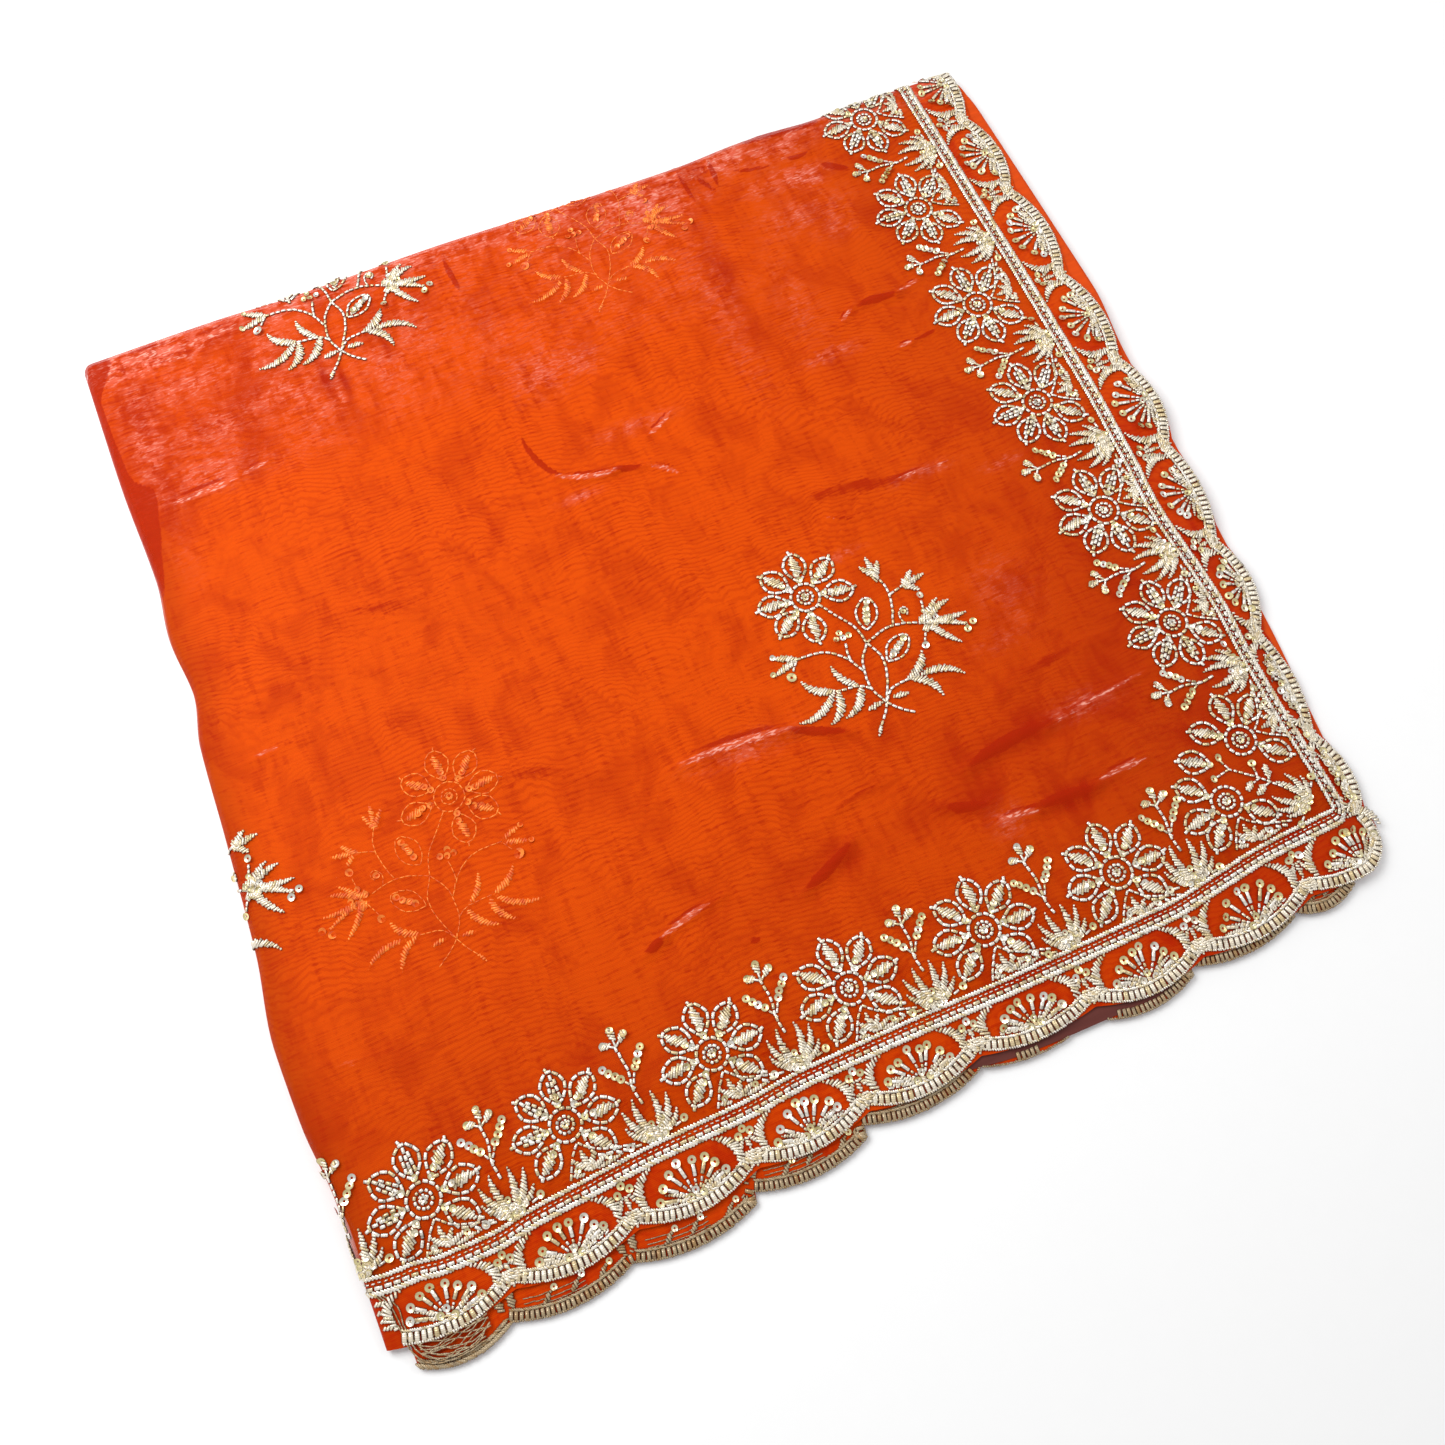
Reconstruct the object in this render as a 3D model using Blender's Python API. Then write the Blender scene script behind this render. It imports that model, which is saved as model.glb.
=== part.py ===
"""A folded organza sari with scalloped, embroidered edgings, lying flat on a surface.

Metres, +Z up, with the origin on the surface under the middle of the folded square. X runs along
the near (long) edging and Y away from it, towards the far fold. The end edging is at +X.

The cloth is worked out as a flat pattern. In it p follows X and q follows Y, and both carry on round
the left fold and the far fold. lay() puts a point of the pattern in its place on the folded sari,
and every layer is the same shape at its own depth under the top face.
"""

import math
from collections import namedtuple

import bmesh
import bpy
import numpy as np

MM = 0.001
SMOOTH_ANGLE = math.radians(40)

# Layers, in millimetres: each sheet is a wall, and neighbours keep a small gap.
STACK_TOP = 10.0
WALL = 1.2
GAP = 0.5
TOP = STACK_TOP + GAP + WALL
LOWER_DEPTH = WALL + GAP
STACK_DEPTH = WALL + GAP

# The rolled folds on the left and far sides, in millimetres.
FOLD_RADIUS = 7.0
FOLD_END = 2.4
LOWEST_ROLL = 5.4
SLOPE_STEP = 0.5

# How far the near and end sides sink towards the surface they lie on, in millimetres.
MOST_DROP = 8.4
NEAR_DROP_START = -215.0
NEAR_DROP_RUN = 88.0
END_DROP_LEAD = 7.0

# Scalloped edging, in millimetres: distances from the middle of the cord band.
SEAM = 5.2
SEAM_GAP = 0.4
CORNER_X = 249.7
CORNER_Y = -236.7
CORNER_RADIUS = 5.8
CORNER_RUN = 50.0
NOTCH_DEPTH = 11.0
STEPS_A_SCALLOP = 6
CORD_RISE = 0.9
CORD_VALLEY = 0.2
RIM_RISE = 0.8
RIM_WIDTH = 4.6
RIM_BEVEL = 0.9
LONG_EDGING_END_Y = -258.0
END_EDGING_MIDDLE_X = 290.0

# The sheets' grids. A sheet's outline is found by a few passes from a first guess of its side.
ROLL_STEPS = 4
GROUND_COLUMNS = 35
GROUND_ROWS = 35
FIRST_GUESS = 600.0
PASSES = 4

# The stack of hidden layers, in millimetres. Steps and corners go round it from the near side, and
# the rings of its top are shares of the way from its edge to its middle.
STACK_STEPS = (24, 24, 20, 40)
STACK_CORNER_STEPS = 4
STACK_CORNERS = (0.012, 0.14, 0.08, 0.08)
STACK_RINGS = (0.0, 0.08, 0.18, 0.3, 0.44, 0.6, 0.78, 1.0)
STACK_INNER_NEAR = -204.0
STACK_INNER_END = 236.0
STACK_EDGE_INSET = 1.5
FOLDED_SHARE = 0.07
ROLL_CLEARANCE = 0.45
ROLL_CLEARANCE_SHARE = 1 / 3

# The lower edging, in millimetres, and the room that the stack leaves for it.
LOWER_INNER_EDGE = -226.0
LOWER_END_Y = -262.0
LOWER_ROWS = 5
LOWER_LEAST_STEP = 0.1
LOWER_RIM_START = 5.0
LOWER_START = 5.0
LOWER_ROOM = 1.9
LOWER_ROOM_LEAD = 1.0

EdgePoint = namedtuple("EdgePoint", "along across")
Scallop = namedtuple("Scallop", "start end rim")
Crease = namedtuple("Crease", "x y to_x to_y half_width rise")
EdgeLayer = namedtuple("EdgeLayer", "fold_out open_out height")
Finish = namedtuple("Finish", "colour roughness metallic")

# Outlines seen from above, in millimetres: x of a side at each y, or y of a side at each x.
LEFT_FOLD = (
    EdgePoint(-258, -297.0),
    EdgePoint(-212, -297.5),
    EdgePoint(-170, -301.8),
    EdgePoint(-130, -302.7),
    EdgePoint(-80, -296.7),
    EdgePoint(-15, -293.0),
    EdgePoint(40, -290.5),
    EdgePoint(72, -285.0),
    EdgePoint(108, -288.0),
    EdgePoint(146, -284.6),
    EdgePoint(215, -286.5),
    EdgePoint(300, -285.7),
)
FAR_FOLD = (
    EdgePoint(-290, 303.9),
    EdgePoint(-202, 302.8),
    EdgePoint(-152, 300.0),
    EdgePoint(-62, 299.6),
    EdgePoint(13, 296.6),
    EdgePoint(103, 294.2),
    EdgePoint(148, 295.8),
    EdgePoint(205, 293.0),
    EdgePoint(240, 293.0),
)
CORDS_NEAR = (
    EdgePoint(-300, -252.0),
    EdgePoint(-227, -257.4),
    EdgePoint(-156, -257.4),
    EdgePoint(-88, -254.9),
    EdgePoint(-22, -250.8),
    EdgePoint(11, -252.4),
    EdgePoint(112, -249.7),
    EdgePoint(200, -245.0),
    EdgePoint(CORNER_X, CORNER_Y - CORNER_RADIUS),
)
RIM_NEAR = (
    EdgePoint(-300, -283.0),
    EdgePoint(-137, -282.5),
    EdgePoint(0, -282.0),
    EdgePoint(60, -281.0),
    EdgePoint(118, -285.0),
    EdgePoint(185, -280.0),
    EdgePoint(CORNER_X, -278.0),
)
CORDS_END = (
    EdgePoint(CORNER_Y, CORNER_X + CORNER_RADIUS),
    EdgePoint(-167, 256.5),
    EdgePoint(-112, 260.0),
    EdgePoint(7, 262.2),
    EdgePoint(300, 262.2),
)
RIM_END = (
    EdgePoint(CORNER_Y, 277.0),
    EdgePoint(-182, 279.5),
    EdgePoint(-152, 282.5),
    EdgePoint(-92, 290.5),
    EdgePoint(-32, 293.8),
    EdgePoint(28, 297.0),
    EdgePoint(100, 300.5),
    EdgePoint(300, 300.5),
)
PLAIN_FOLD_END = (
    EdgePoint(-262, 268.0),
    EdgePoint(-198, 275.0),
    EdgePoint(-138, 282.5),
    EdgePoint(-78, 287.0),
    EdgePoint(-15, 292.4),
    EdgePoint(57, 296.8),
    EdgePoint(105, 302.6),
    EdgePoint(250, 302.8),
    EdgePoint(300, 301.5),
)
STACK_NEAR = (
    EdgePoint(-296, -280.5),
    EdgePoint(-288, -272.0),
    EdgePoint(-278, -264.0),
    EdgePoint(-200, -262.5),
    EdgePoint(220, -258.0),
)
END_DROP = (
    EdgePoint(-280, 8.0),
    EdgePoint(-150, 8.0),
    EdgePoint(-80, 6.0),
    EdgePoint(0, 4.0),
    EdgePoint(100, 2.5),
    EdgePoint(300, 2.5),
)

# Notches between the scallops: x along the near edging, y along the end edging.
NOTCHES_NEAR = (-299.0, -235.7, -171.0, -107.4, -42.3, 22.3, 86.3, 150.0, 220.0)
NOTCHES_END = (-200.5, -140.0, -82.5, -14.5, 49.5, 119.5, 188.0, 249.5, 312.0)
CORNER_NOTCH_SHARE = 0.56

# Scallops of the lower half of the width, which show past the near edging.
LOWER_SCALLOPS = (
    Scallop(-286.0, -239.0, -303.7),
    Scallop(-239.0, -176.0, -302.8),
    Scallop(-176.0, -110.0, -302.5),
    Scallop(-110.0, -47.0, -297.0),
    Scallop(-47.0, 19.0, -289.5),
    Scallop(19.0, 82.0, -289.0),
    Scallop(82.0, 142.0, -292.5),
    Scallop(142.0, 206.0, -289.0),
    Scallop(206.0, 244.0, -284.0),
)

# The largest creases of the top cloth, in millimetres.
CREASES = (
    Crease(-59, 127, -4, 98, 7, 2.0),
    Crease(7, 118, 44, 127, 7, 1.1),
    Crease(-53, -79, 33, -98, 7, 1.8),
    Crease(-114, -160, -64, -151, 7, 1.2),
    Crease(77, -140, 134, -143, 8, 1.7),
    Crease(104, -176, 170, -180, 8, 1.7),
    Crease(-15, -165, 7, -153, 7, 1.2),
    Crease(60, -165, 82, -158, 7, 1.0),
    Crease(159, 149, 196, 147, 7, 1.2),
    Crease(174, 110, 205, 110, 7, 1.0),
    Crease(-143, 280, -140, 185, 12, 1.1),
    Crease(-55, 278, -52, 200, 11, 0.9),
    Crease(103, 274, 114, 92, 14, 1.5),
    Crease(145, 272, 140, 190, 10, 0.9),
    Crease(-268, 20, -236, 20, 9, 1.0),
    Crease(-268, 183, -150, 183, 12, 0.9),
)

# Side of the stack from its top edge down: outward shift on the folded and the open sides, in
# millimetres, and the height as a share of the top edge's.
STACK_SIDE = (
    EdgeLayer(-0.2, 1.1, 0.88),
    EdgeLayer(-0.2, 1.5, 0.76),
    EdgeLayer(1.1, 0.6, 0.68),
    EdgeLayer(1.4, 1.3, 0.54),
    EdgeLayer(0.7, 1.5, 0.44),
    EdgeLayer(1.3, 0.6, 0.34),
    EdgeLayer(1.4, 1.3, 0.18),
    EdgeLayer(0.2, 0.2, 0.0),
)

# Distances across the edging from the middle of the cord band, with the rise of its raised cords.
CORD_ROWS = (-SEAM, -4.2, -2.0, 0.0, 2.0, 4.2, 5.6)
CORD_RISES = (0.0, CORD_RISE, CORD_VALLEY, CORD_RISE, CORD_VALLEY, CORD_RISE, 0.0)

FINISHES = {
    "folded_stack": Finish((0.62, 0.09, 0.01), 0.55, 0.0),
    "lower_edging": Finish((0.55, 0.36, 0.16), 0.45, 0.4),
    "top_cloth": Finish((0.83, 0.10, 0.01), 0.45, 0.0),
    "long_edging": Finish((0.66, 0.45, 0.22), 0.4, 0.4),
    "end_edging": Finish((0.70, 0.50, 0.26), 0.4, 0.4),
}


def curve(table, at):
    """A smooth line through a table's points, level beyond its ends.

    Its pieces are cubic Hermite curves. The slope at a point is the harmonic mean of its
    neighbours' slopes, or level at a peak, so that the line never swings past its points.
    """
    along = np.array([point.along for point in table], float)
    across = np.array([point.across for point in table], float)
    rises = np.diff(across) / np.diff(along)
    product = rises[:-1] * rises[1:]
    total = np.where(product > 0, rises[:-1] + rises[1:], 1.0)
    inner = np.where(product > 0, 2 * product / total, 0.0)
    slope = np.concatenate([rises[:1], inner, rises[-1:]])
    at = np.clip(np.asarray(at, float), along[0], along[-1])
    piece = np.clip(np.searchsorted(along, at, side="right") - 1, 0, len(along) - 2)
    width = along[piece + 1] - along[piece]
    t = (at - along[piece]) / width
    start = (1 + 2 * t) * (1 - t) ** 2 * across[piece]
    end = t * t * (3 - 2 * t) * across[piece + 1]
    bends = t * (1 - t) ** 2 * slope[piece] - t * t * (1 - t) * slope[piece + 1]
    return start + end + width * bends


def ease(t):
    """A smooth step from 0 to 1: half a cosine wave."""
    return 0.5 - 0.5 * np.cos(np.pi * np.clip(t, 0, 1))


def plain_height(x, y):
    """Height of the top face without creases: level, sinking towards the near and end sides."""
    near = ease((NEAR_DROP_START - y) / NEAR_DROP_RUN)
    start = curve(CORDS_END, y) - END_DROP_LEAD
    end = curve(END_DROP, y) / MOST_DROP * ease((x - start) / (curve(RIM_END, y) - start))
    return TOP - MOST_DROP * (1 - (1 - near) * (1 - end))


def crease_rise(x, y):
    """Rise of the creases: each is a ridge with a bell-shaped section, fading out at its ends."""
    rise = np.zeros(np.broadcast(x, y).shape)
    for crease in CREASES:
        run_x, run_y = crease.to_x - crease.x, crease.to_y - crease.y
        length = math.hypot(run_x, run_y)
        along = ((x - crease.x) * run_x + (y - crease.y) * run_y) / length
        across = ((y - crease.y) * run_x - (x - crease.x) * run_y) / length
        beyond = np.maximum(0, np.abs(along - length / 2) - length / 2)
        rise += crease.rise * np.exp(-(across**2 + beyond**2) / crease.half_width**2)
    return rise


def no_rise(x, y):
    """The rise of a layer without creases."""
    return np.zeros(np.broadcast(x, y).shape)


def left_roll(q):
    """Where the left fold's roll starts, its radius and the length of cloth that goes round it."""
    height = plain_height(0.0, q) - FOLD_END
    radius = FOLD_RADIUS * np.clip(height / LOWEST_ROLL, 0, 1)
    length = np.pi / 2 * np.sqrt((radius**2 + height**2) / 2)
    return curve(LEFT_FOLD, q) + radius, radius, length


def far_roll(p):
    """The same for the far fold."""
    height = plain_height(p, 0.0) - FOLD_END
    length = np.pi / 2 * np.sqrt((FOLD_RADIUS**2 + height**2) / 2)
    return curve(FAR_FOLD, p) - FOLD_RADIUS, length


def lay(p, q, depth=0.0, rise=no_rise):
    """Places of pattern points (p, q), this far under the top face.

    Each roll is a quarter of an ellipse, and where the two folds meet, the square of the pattern is
    mapped to a quarter disc, so the corner is part of an ellipsoid. The depth is taken along the
    surface's normal.
    """
    left, radius, left_length = left_roll(q)
    far, far_length = far_roll(p)
    a = np.sin(np.pi / 2 * np.clip((left - p) / left_length, 0, 1))
    b = np.sin(np.pi / 2 * np.clip((q - far) / far_length, 0, 1))
    u = a * np.sqrt(1 - b * b / 2)
    v = b * np.sqrt(1 - a * a / 2)
    x = np.maximum(p, left) - radius * u
    y = np.minimum(q, far) + FOLD_RADIUS * v
    level = np.sqrt(np.maximum(0, 1 - u * u - v * v))

    def height(at_x, at_y):
        return plain_height(at_x, at_y) + rise(at_x, at_y) - FOLD_END

    here = height(x, y)
    slope_x = (height(x + SLOPE_STEP, y) - height(x - SLOPE_STEP, y)) / (2 * SLOPE_STEP)
    slope_y = (height(x, y + SLOPE_STEP) - height(x, y - SLOPE_STEP)) / (2 * SLOPE_STEP)
    normal = np.stack(
        [
            -u / radius - level**2 * slope_x / here,
            v / FOLD_RADIUS - level**2 * slope_y / here,
            level / here,
        ],
        axis=-1,
    )
    normal /= np.linalg.norm(normal, axis=-1, keepdims=True)
    place = np.stack([x, y, FOLD_END + here * level], axis=-1)
    return place - np.asarray(depth)[..., None] * normal


def edging_line(s):
    """Cord point, outward direction and reach at s along the edging.

    s is x along the near side, turns the corner in CORNER_RUN, and then goes on with y.
    """
    turn = np.pi / 2 * np.clip((s - CORNER_X) / CORNER_RUN, 0, 1)
    x = np.minimum(s, CORNER_X)
    y = CORNER_Y + np.maximum(s - CORNER_X - CORNER_RUN, 0)
    out_x, out_y = np.sin(turn), -np.cos(turn)
    cord_x = np.where(s > CORNER_X + CORNER_RUN, curve(CORDS_END, y), x + CORNER_RADIUS * out_x)
    corner_y = CORNER_Y + CORNER_RADIUS * out_y
    cord_y = np.where(s < CORNER_X, curve(CORDS_NEAR, x), np.where(turn < np.pi / 2, corner_y, y))
    near_reach = curve(CORDS_NEAR, x) - curve(RIM_NEAR, x)
    end_reach = curve(RIM_END, y) - curve(CORDS_END, y)
    share = ease(2 * turn / np.pi)
    return cord_x, cord_y, out_x, out_y, near_reach * (1 - share) + end_reach * share


def notch_stations():
    """All notches as s along the edging, with the corner's own notch between its two scallops."""
    last_near, first_end = NOTCHES_NEAR[-1], CORNER_X + CORNER_RUN + NOTCHES_END[0] - CORNER_Y
    corner = last_near + CORNER_NOTCH_SHARE * (first_end - last_near)
    after = [CORNER_X + CORNER_RUN + y - CORNER_Y for y in NOTCHES_END]
    return np.array([*NOTCHES_NEAR, corner, *after])


def arc_sag(share, chord, depth):
    """How far a circular arc with this chord and depth lies back from its peak."""
    radius = (chord**2 / 4 + depth**2) / (2 * depth)
    return radius - np.sqrt(radius**2 - (chord * (share - 0.5)) ** 2)


def scallop_sag(s):
    """How far the scalloped rim lies back from its peaks at s."""
    notches = notch_stations()
    cell = np.clip(np.searchsorted(notches, s, side="right") - 1, 0, len(notches) - 2)
    chord = notches[cell + 1] - notches[cell]
    share = np.clip((s - notches[cell]) / chord, 0, 1)
    return arc_sag(share, chord, NOTCH_DEPTH)


def scallop_stations(start, end):
    """Stations from start to end: each scallop in equal steps, left out near the two ends."""
    notches = notch_stations()
    steps = np.arange(STEPS_A_SCALLOP) / STEPS_A_SCALLOP
    inner = (notches[:-1, None] + steps * np.diff(notches)[:, None]).ravel()
    clear = (notches[1] - notches[0]) / STEPS_A_SCALLOP / 2
    kept = inner[(inner > start + clear) & (inner < end - clear)]
    return np.concatenate([[start], kept, [end]])


def edging_rows(reach):
    """Distances across the edging and the rise there: the cord band, plain cloth, the raised rim."""
    cords = [np.full_like(reach, row) for row in CORD_ROWS]
    inner = reach - RIM_WIDTH
    middle = (CORD_ROWS[-1] + inner) / 2
    rises = [*CORD_RISES, 0.0, 0.0, RIM_RISE, RIM_RISE, 0.0]
    rows = [*cords, middle, inner, inner + RIM_BEVEL, reach - RIM_BEVEL, reach]
    return np.stack(rows), np.array(rises)


def edging_walls(s):
    """Pattern points of an edging at stations s, one row of the grid for each distance across."""
    cord_x, cord_y, out_x, out_y, reach = edging_line(s)
    across, rises = edging_rows(reach - scallop_sag(s))
    return cord_x + out_x * across, cord_y + out_y * across, rises[:, None]


def material_for(name):
    finish = FINISHES[name]
    material = bpy.data.materials.new(name)
    material.use_nodes = True
    shader = material.node_tree.nodes["Principled BSDF"]
    shader.inputs["Base Color"].default_value = (*finish.colour, 1.0)
    shader.inputs["Roughness"].default_value = finish.roughness
    shader.inputs["Metallic"].default_value = finish.metallic
    material.diffuse_color = (*finish.colour, 1.0)
    return material


def add_object(name, bm, collection):
    bmesh.ops.recalc_face_normals(bm, faces=bm.faces)
    if bm.calc_volume(signed=True) < 0:
        bmesh.ops.reverse_faces(bm, faces=bm.faces)
    mesh = bpy.data.meshes.new(name)
    bm.to_mesh(mesh)
    bm.free()
    mesh.materials.append(material_for(name))
    mesh.shade_smooth()
    mesh.set_sharp_from_angle(angle=SMOOTH_ANGLE)
    obj = bpy.data.objects.new(name, mesh)
    collection.objects.link(obj)
    return obj


def add_wall(name, outer, inner, collection):
    """A closed wall between two grids of points, from a flat grid thickened by extruding its faces."""
    rows, columns = outer.shape[:2]
    bm = bmesh.new()
    place = bm.verts.layers.int.new("place")
    bmesh.ops.create_grid(bm, x_segments=columns - 1, y_segments=rows - 1, size=1)
    for vert in bm.verts:
        column = round((vert.co.x + 1) / 2 * (columns - 1))
        row = round((vert.co.y + 1) / 2 * (rows - 1))
        vert[place] = row * columns + column
    lower_verts = set(bm.verts)
    bmesh.ops.extrude_face_region(bm, geom=bm.faces[:], use_keep_orig=True)
    outer, inner = outer.reshape(-1, 3) * MM, inner.reshape(-1, 3) * MM
    for vert in bm.verts:
        vert.co = (inner if vert in lower_verts else outer)[vert[place]]
    return add_object(name, bm, collection)


def add_loft(name, rings, collection):
    """A closed loft through rings of points, from a filled circle whose edge is extruded."""
    count = rings.shape[1]
    bm = bmesh.new()
    place = bm.verts.layers.int.new("place")
    made = bmesh.ops.create_circle(bm, cap_ends=True, segments=count, radius=1)
    for number, vert in enumerate(made["verts"]):
        vert[place] = number
        vert.co = rings[0][number] * MM
    edges = bm.edges[:]
    for ring in rings[1:]:
        extruded = bmesh.ops.extrude_edge_only(bm, edges=edges)["geom"]
        edges = [item for item in extruded if isinstance(item, bmesh.types.BMEdge)]
        for vert in {vert for edge in edges for vert in edge.verts}:
            vert.co = ring[vert[place]] * MM
    bmesh.ops.contextual_create(bm, geom=edges)
    return add_object(name, bm, collection)


def ground_pattern():
    """Pattern points of the top cloth between the folds and the cords of the two edgings."""
    roll = np.linspace(1, 0, ROLL_STEPS + 1)[:-1]
    across = np.linspace(0, 1, GROUND_COLUMNS)
    away = np.linspace(0, 1, GROUND_ROWS)
    p = np.tile(np.concatenate([-roll, across]), (GROUND_ROWS + ROLL_STEPS, 1))
    q = np.tile(np.concatenate([away, roll[::-1] + 1])[:, None], (1, GROUND_COLUMNS + ROLL_STEPS))
    share_p, share_q = p, q
    p, q = (share_p - 0.5) * FIRST_GUESS, (share_q - 0.5) * FIRST_GUESS
    for _ in range(PASSES):
        left, _, left_length = left_roll(q)
        end = curve(CORDS_END, q) - SEAM - SEAM_GAP
        p = left + np.where(share_p < 0, share_p * left_length, share_p * (end - left))
        far, far_length = far_roll(p)
        near = curve(CORDS_NEAR, p) + SEAM + SEAM_GAP
        inside = near + share_q * (far - near)
        q = np.where(share_q > 1, far + (share_q - 1) * far_length, inside)
    return p, q


def add_top_cloth(collection):
    p, q = ground_pattern()
    outer = lay(p, q, 0.0, crease_rise)
    inner = lay(p, q, WALL, crease_rise)
    return add_wall("top_cloth", outer, inner, collection)


def add_edging(name, p, q, rises, collection):
    """An edging's wall, with its cords and rim raised over a plain inside."""
    outer = lay(p, q, np.broadcast_to(-rises, p.shape), crease_rise)
    inner = lay(p, q, WALL, crease_rise)
    return add_wall(name, outer, inner, collection)


def add_long_edging(collection):
    """The near edging, from its end on the left fold to the cut beside the corner."""
    start = curve(LEFT_FOLD, LONG_EDGING_END_Y) + FOLD_RADIUS
    p, q, rises = edging_walls(scallop_stations(start, CORNER_X - SEAM_GAP))
    left, _, length = left_roll(q[:, :1])
    roll = left - np.linspace(1, 0, ROLL_STEPS + 1)[:-1] * length
    p = np.concatenate([roll, p], axis=1)
    q = np.concatenate([np.repeat(q[:, :1], ROLL_STEPS, axis=1), q], axis=1)
    p[:, ROLL_STEPS] = np.maximum(p[:, ROLL_STEPS], left[:, 0])
    return add_edging("long_edging", p, q, rises, collection)


def add_end_edging(collection):
    """The end edging, from the cut beside the corner, round the corner, to the far fold."""
    far, length = far_roll(np.array(END_EDGING_MIDDLE_X))
    top_of_s = CORNER_X + CORNER_RUN - CORNER_Y + float(far)
    p, q, rises = edging_walls(scallop_stations(CORNER_X + SEAM_GAP / 2, top_of_s))
    share = np.linspace(0, 1, ROLL_STEPS + 1)[1:]
    roll_p, _, _ = edging_walls(top_of_s + share * float(length))
    far, length = far_roll(roll_p)
    p = np.concatenate([p, roll_p], axis=1)
    q = np.concatenate([q, far + share * length], axis=1)
    return add_edging("end_edging", p, q, rises, collection)


def add_lower_edging(collection):
    """The scalloped edge of the width's lower half, between the stack and the top layer."""
    share = np.arange(STEPS_A_SCALLOP) / STEPS_A_SCALLOP
    p, rim = [], []
    for scallop in LOWER_SCALLOPS:
        chord = scallop.end - scallop.start
        p.append(scallop.start + share * chord)
        rim.append(scallop.rim + arc_sag(share, chord, NOTCH_DEPTH))
    p, rim = np.concatenate(p), np.concatenate(rim)
    left, _, _ = left_roll(np.full_like(p, LOWER_END_Y))
    p = np.maximum(p, left + LOWER_START + LOWER_LEAST_STEP * np.arange(len(p)))
    across = np.linspace(0, 1, LOWER_ROWS + 1)[:, None]
    rows = LOWER_INNER_EDGE + across * (rim + LOWER_RIM_START - LOWER_INNER_EDGE)
    q = np.concatenate([rows, [rim]])
    p = np.tile(p, (len(q), 1))
    outer = lay(p, q, np.full_like(p, LOWER_DEPTH))
    inner = lay(p, q, np.full_like(p, LOWER_DEPTH + WALL))
    return add_wall("lower_edging", outer, inner, collection)


def rounded_square(corner_radii):
    """Points round a square of half side 1, anticlockwise from its near left corner."""
    arcs = []
    for side, (a, b) in enumerate(((-1, -1), (1, -1), (1, 1), (-1, 1))):
        radius = corner_radii[side]
        turn = np.pi * (1 + side / 2) + np.linspace(0, np.pi / 2, STACK_CORNER_STEPS + 1)
        arc = np.stack([np.cos(turn), np.sin(turn)], axis=1)
        arcs.append(np.array([a, b]) * (1 - radius) + radius * arc)
    runs = []
    for arc, following, steps in zip(arcs, arcs[1:] + arcs[:1], STACK_STEPS):
        share = np.linspace(0, 1, steps + 1)[1:-1, None]
        runs += [arc, arc[-1] + share * (following[0] - arc[-1])]
    return np.concatenate(runs)


def stack_depth(p, q):
    """Depth of the stack's top: it makes room for the lower edging, and a little in the rolls."""
    left, _, left_length = left_roll(q)
    far, far_length = far_roll(p)
    turned = np.maximum((left - p) / left_length, (q - far) / far_length)
    rolled = ease(turned / ROLL_CLEARANCE_SHARE)
    beside = ease((p - left) / LOWER_START + 1)
    under = ease((STACK_INNER_NEAR - q) / (STACK_INNER_NEAR - LOWER_INNER_EDGE - LOWER_ROOM_LEAD))
    return STACK_DEPTH + ROLL_CLEARANCE * rolled + LOWER_ROOM * beside * under


def add_folded_stack(collection):
    """The hidden layers as one rounded solid with a flat underside, layered at its edges."""
    square = rounded_square(STACK_CORNERS)
    a, b = (square[:, 0] + 1) / 2, (square[:, 1] + 1) / 2
    rings = []
    for share in STACK_RINGS:
        p, q = (a - 0.5) * FIRST_GUESS, (b - 0.5) * FIRST_GUESS
        for _ in range(PASSES):
            left, _, left_length = left_roll(q)
            far, far_length = far_roll(p)
            edge = curve(PLAIN_FOLD_END, q) - STACK_EDGE_INSET
            right = edge + share * (STACK_INNER_END - edge)
            edge = curve(STACK_NEAR, p) + STACK_EDGE_INSET
            near = edge + share * (STACK_INNER_NEAR - edge)
            start = left - (1 - share) * left_length
            stop = far + (1 - share) * far_length
            p, q = start + a * (right - start), near + b * (stop - near)
        rings.append(lay(p, q, stack_depth(p, q)))
    edge = rings[0]
    along = np.roll(edge, -1, axis=0)[:, :2] - np.roll(edge, 1, axis=0)[:, :2]
    outward = np.stack([along[:, 1], -along[:, 0]], axis=1)
    outward /= np.linalg.norm(outward, axis=1, keepdims=True)
    folded = ease(1 - np.minimum(a, 1 - b) / FOLDED_SHARE)
    top = folded * np.minimum(edge[:, 2], FOLD_END) + (1 - folded) * edge[:, 2]
    sides = []
    for layer in STACK_SIDE:
        shift = folded * layer.fold_out + (1 - folded) * layer.open_out
        plan = edge[:, :2] + outward * shift[:, None]
        sides.append(np.column_stack([plan, top * layer.height]))
    return add_loft("folded_stack", np.array(sides[::-1] + rings), collection)


def clear_scene():
    for obj in list(bpy.data.objects):
        bpy.data.objects.remove(obj, do_unlink=True)


def main():
    clear_scene()
    collection = bpy.data.collections.new("sari")
    bpy.context.scene.collection.children.link(collection)
    add_folded_stack(collection)
    add_lower_edging(collection)
    add_top_cloth(collection)
    add_long_edging(collection)
    add_end_edging(collection)


main()
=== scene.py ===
"""The looks of a folded organza sari with embroidered, scalloped edgings, lying flat.

The cloth is worked out as a flat pattern in millimetres. In it p follows X and q follows Y, and both
carry on round the left fold and the far fold. lay() puts a point of the pattern in its place on the
folded sari. The embroidery is drawn flat on the same pattern and laid on the cloth with it, as it
would be stitched on a frame before the cloth is folded.
"""

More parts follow.
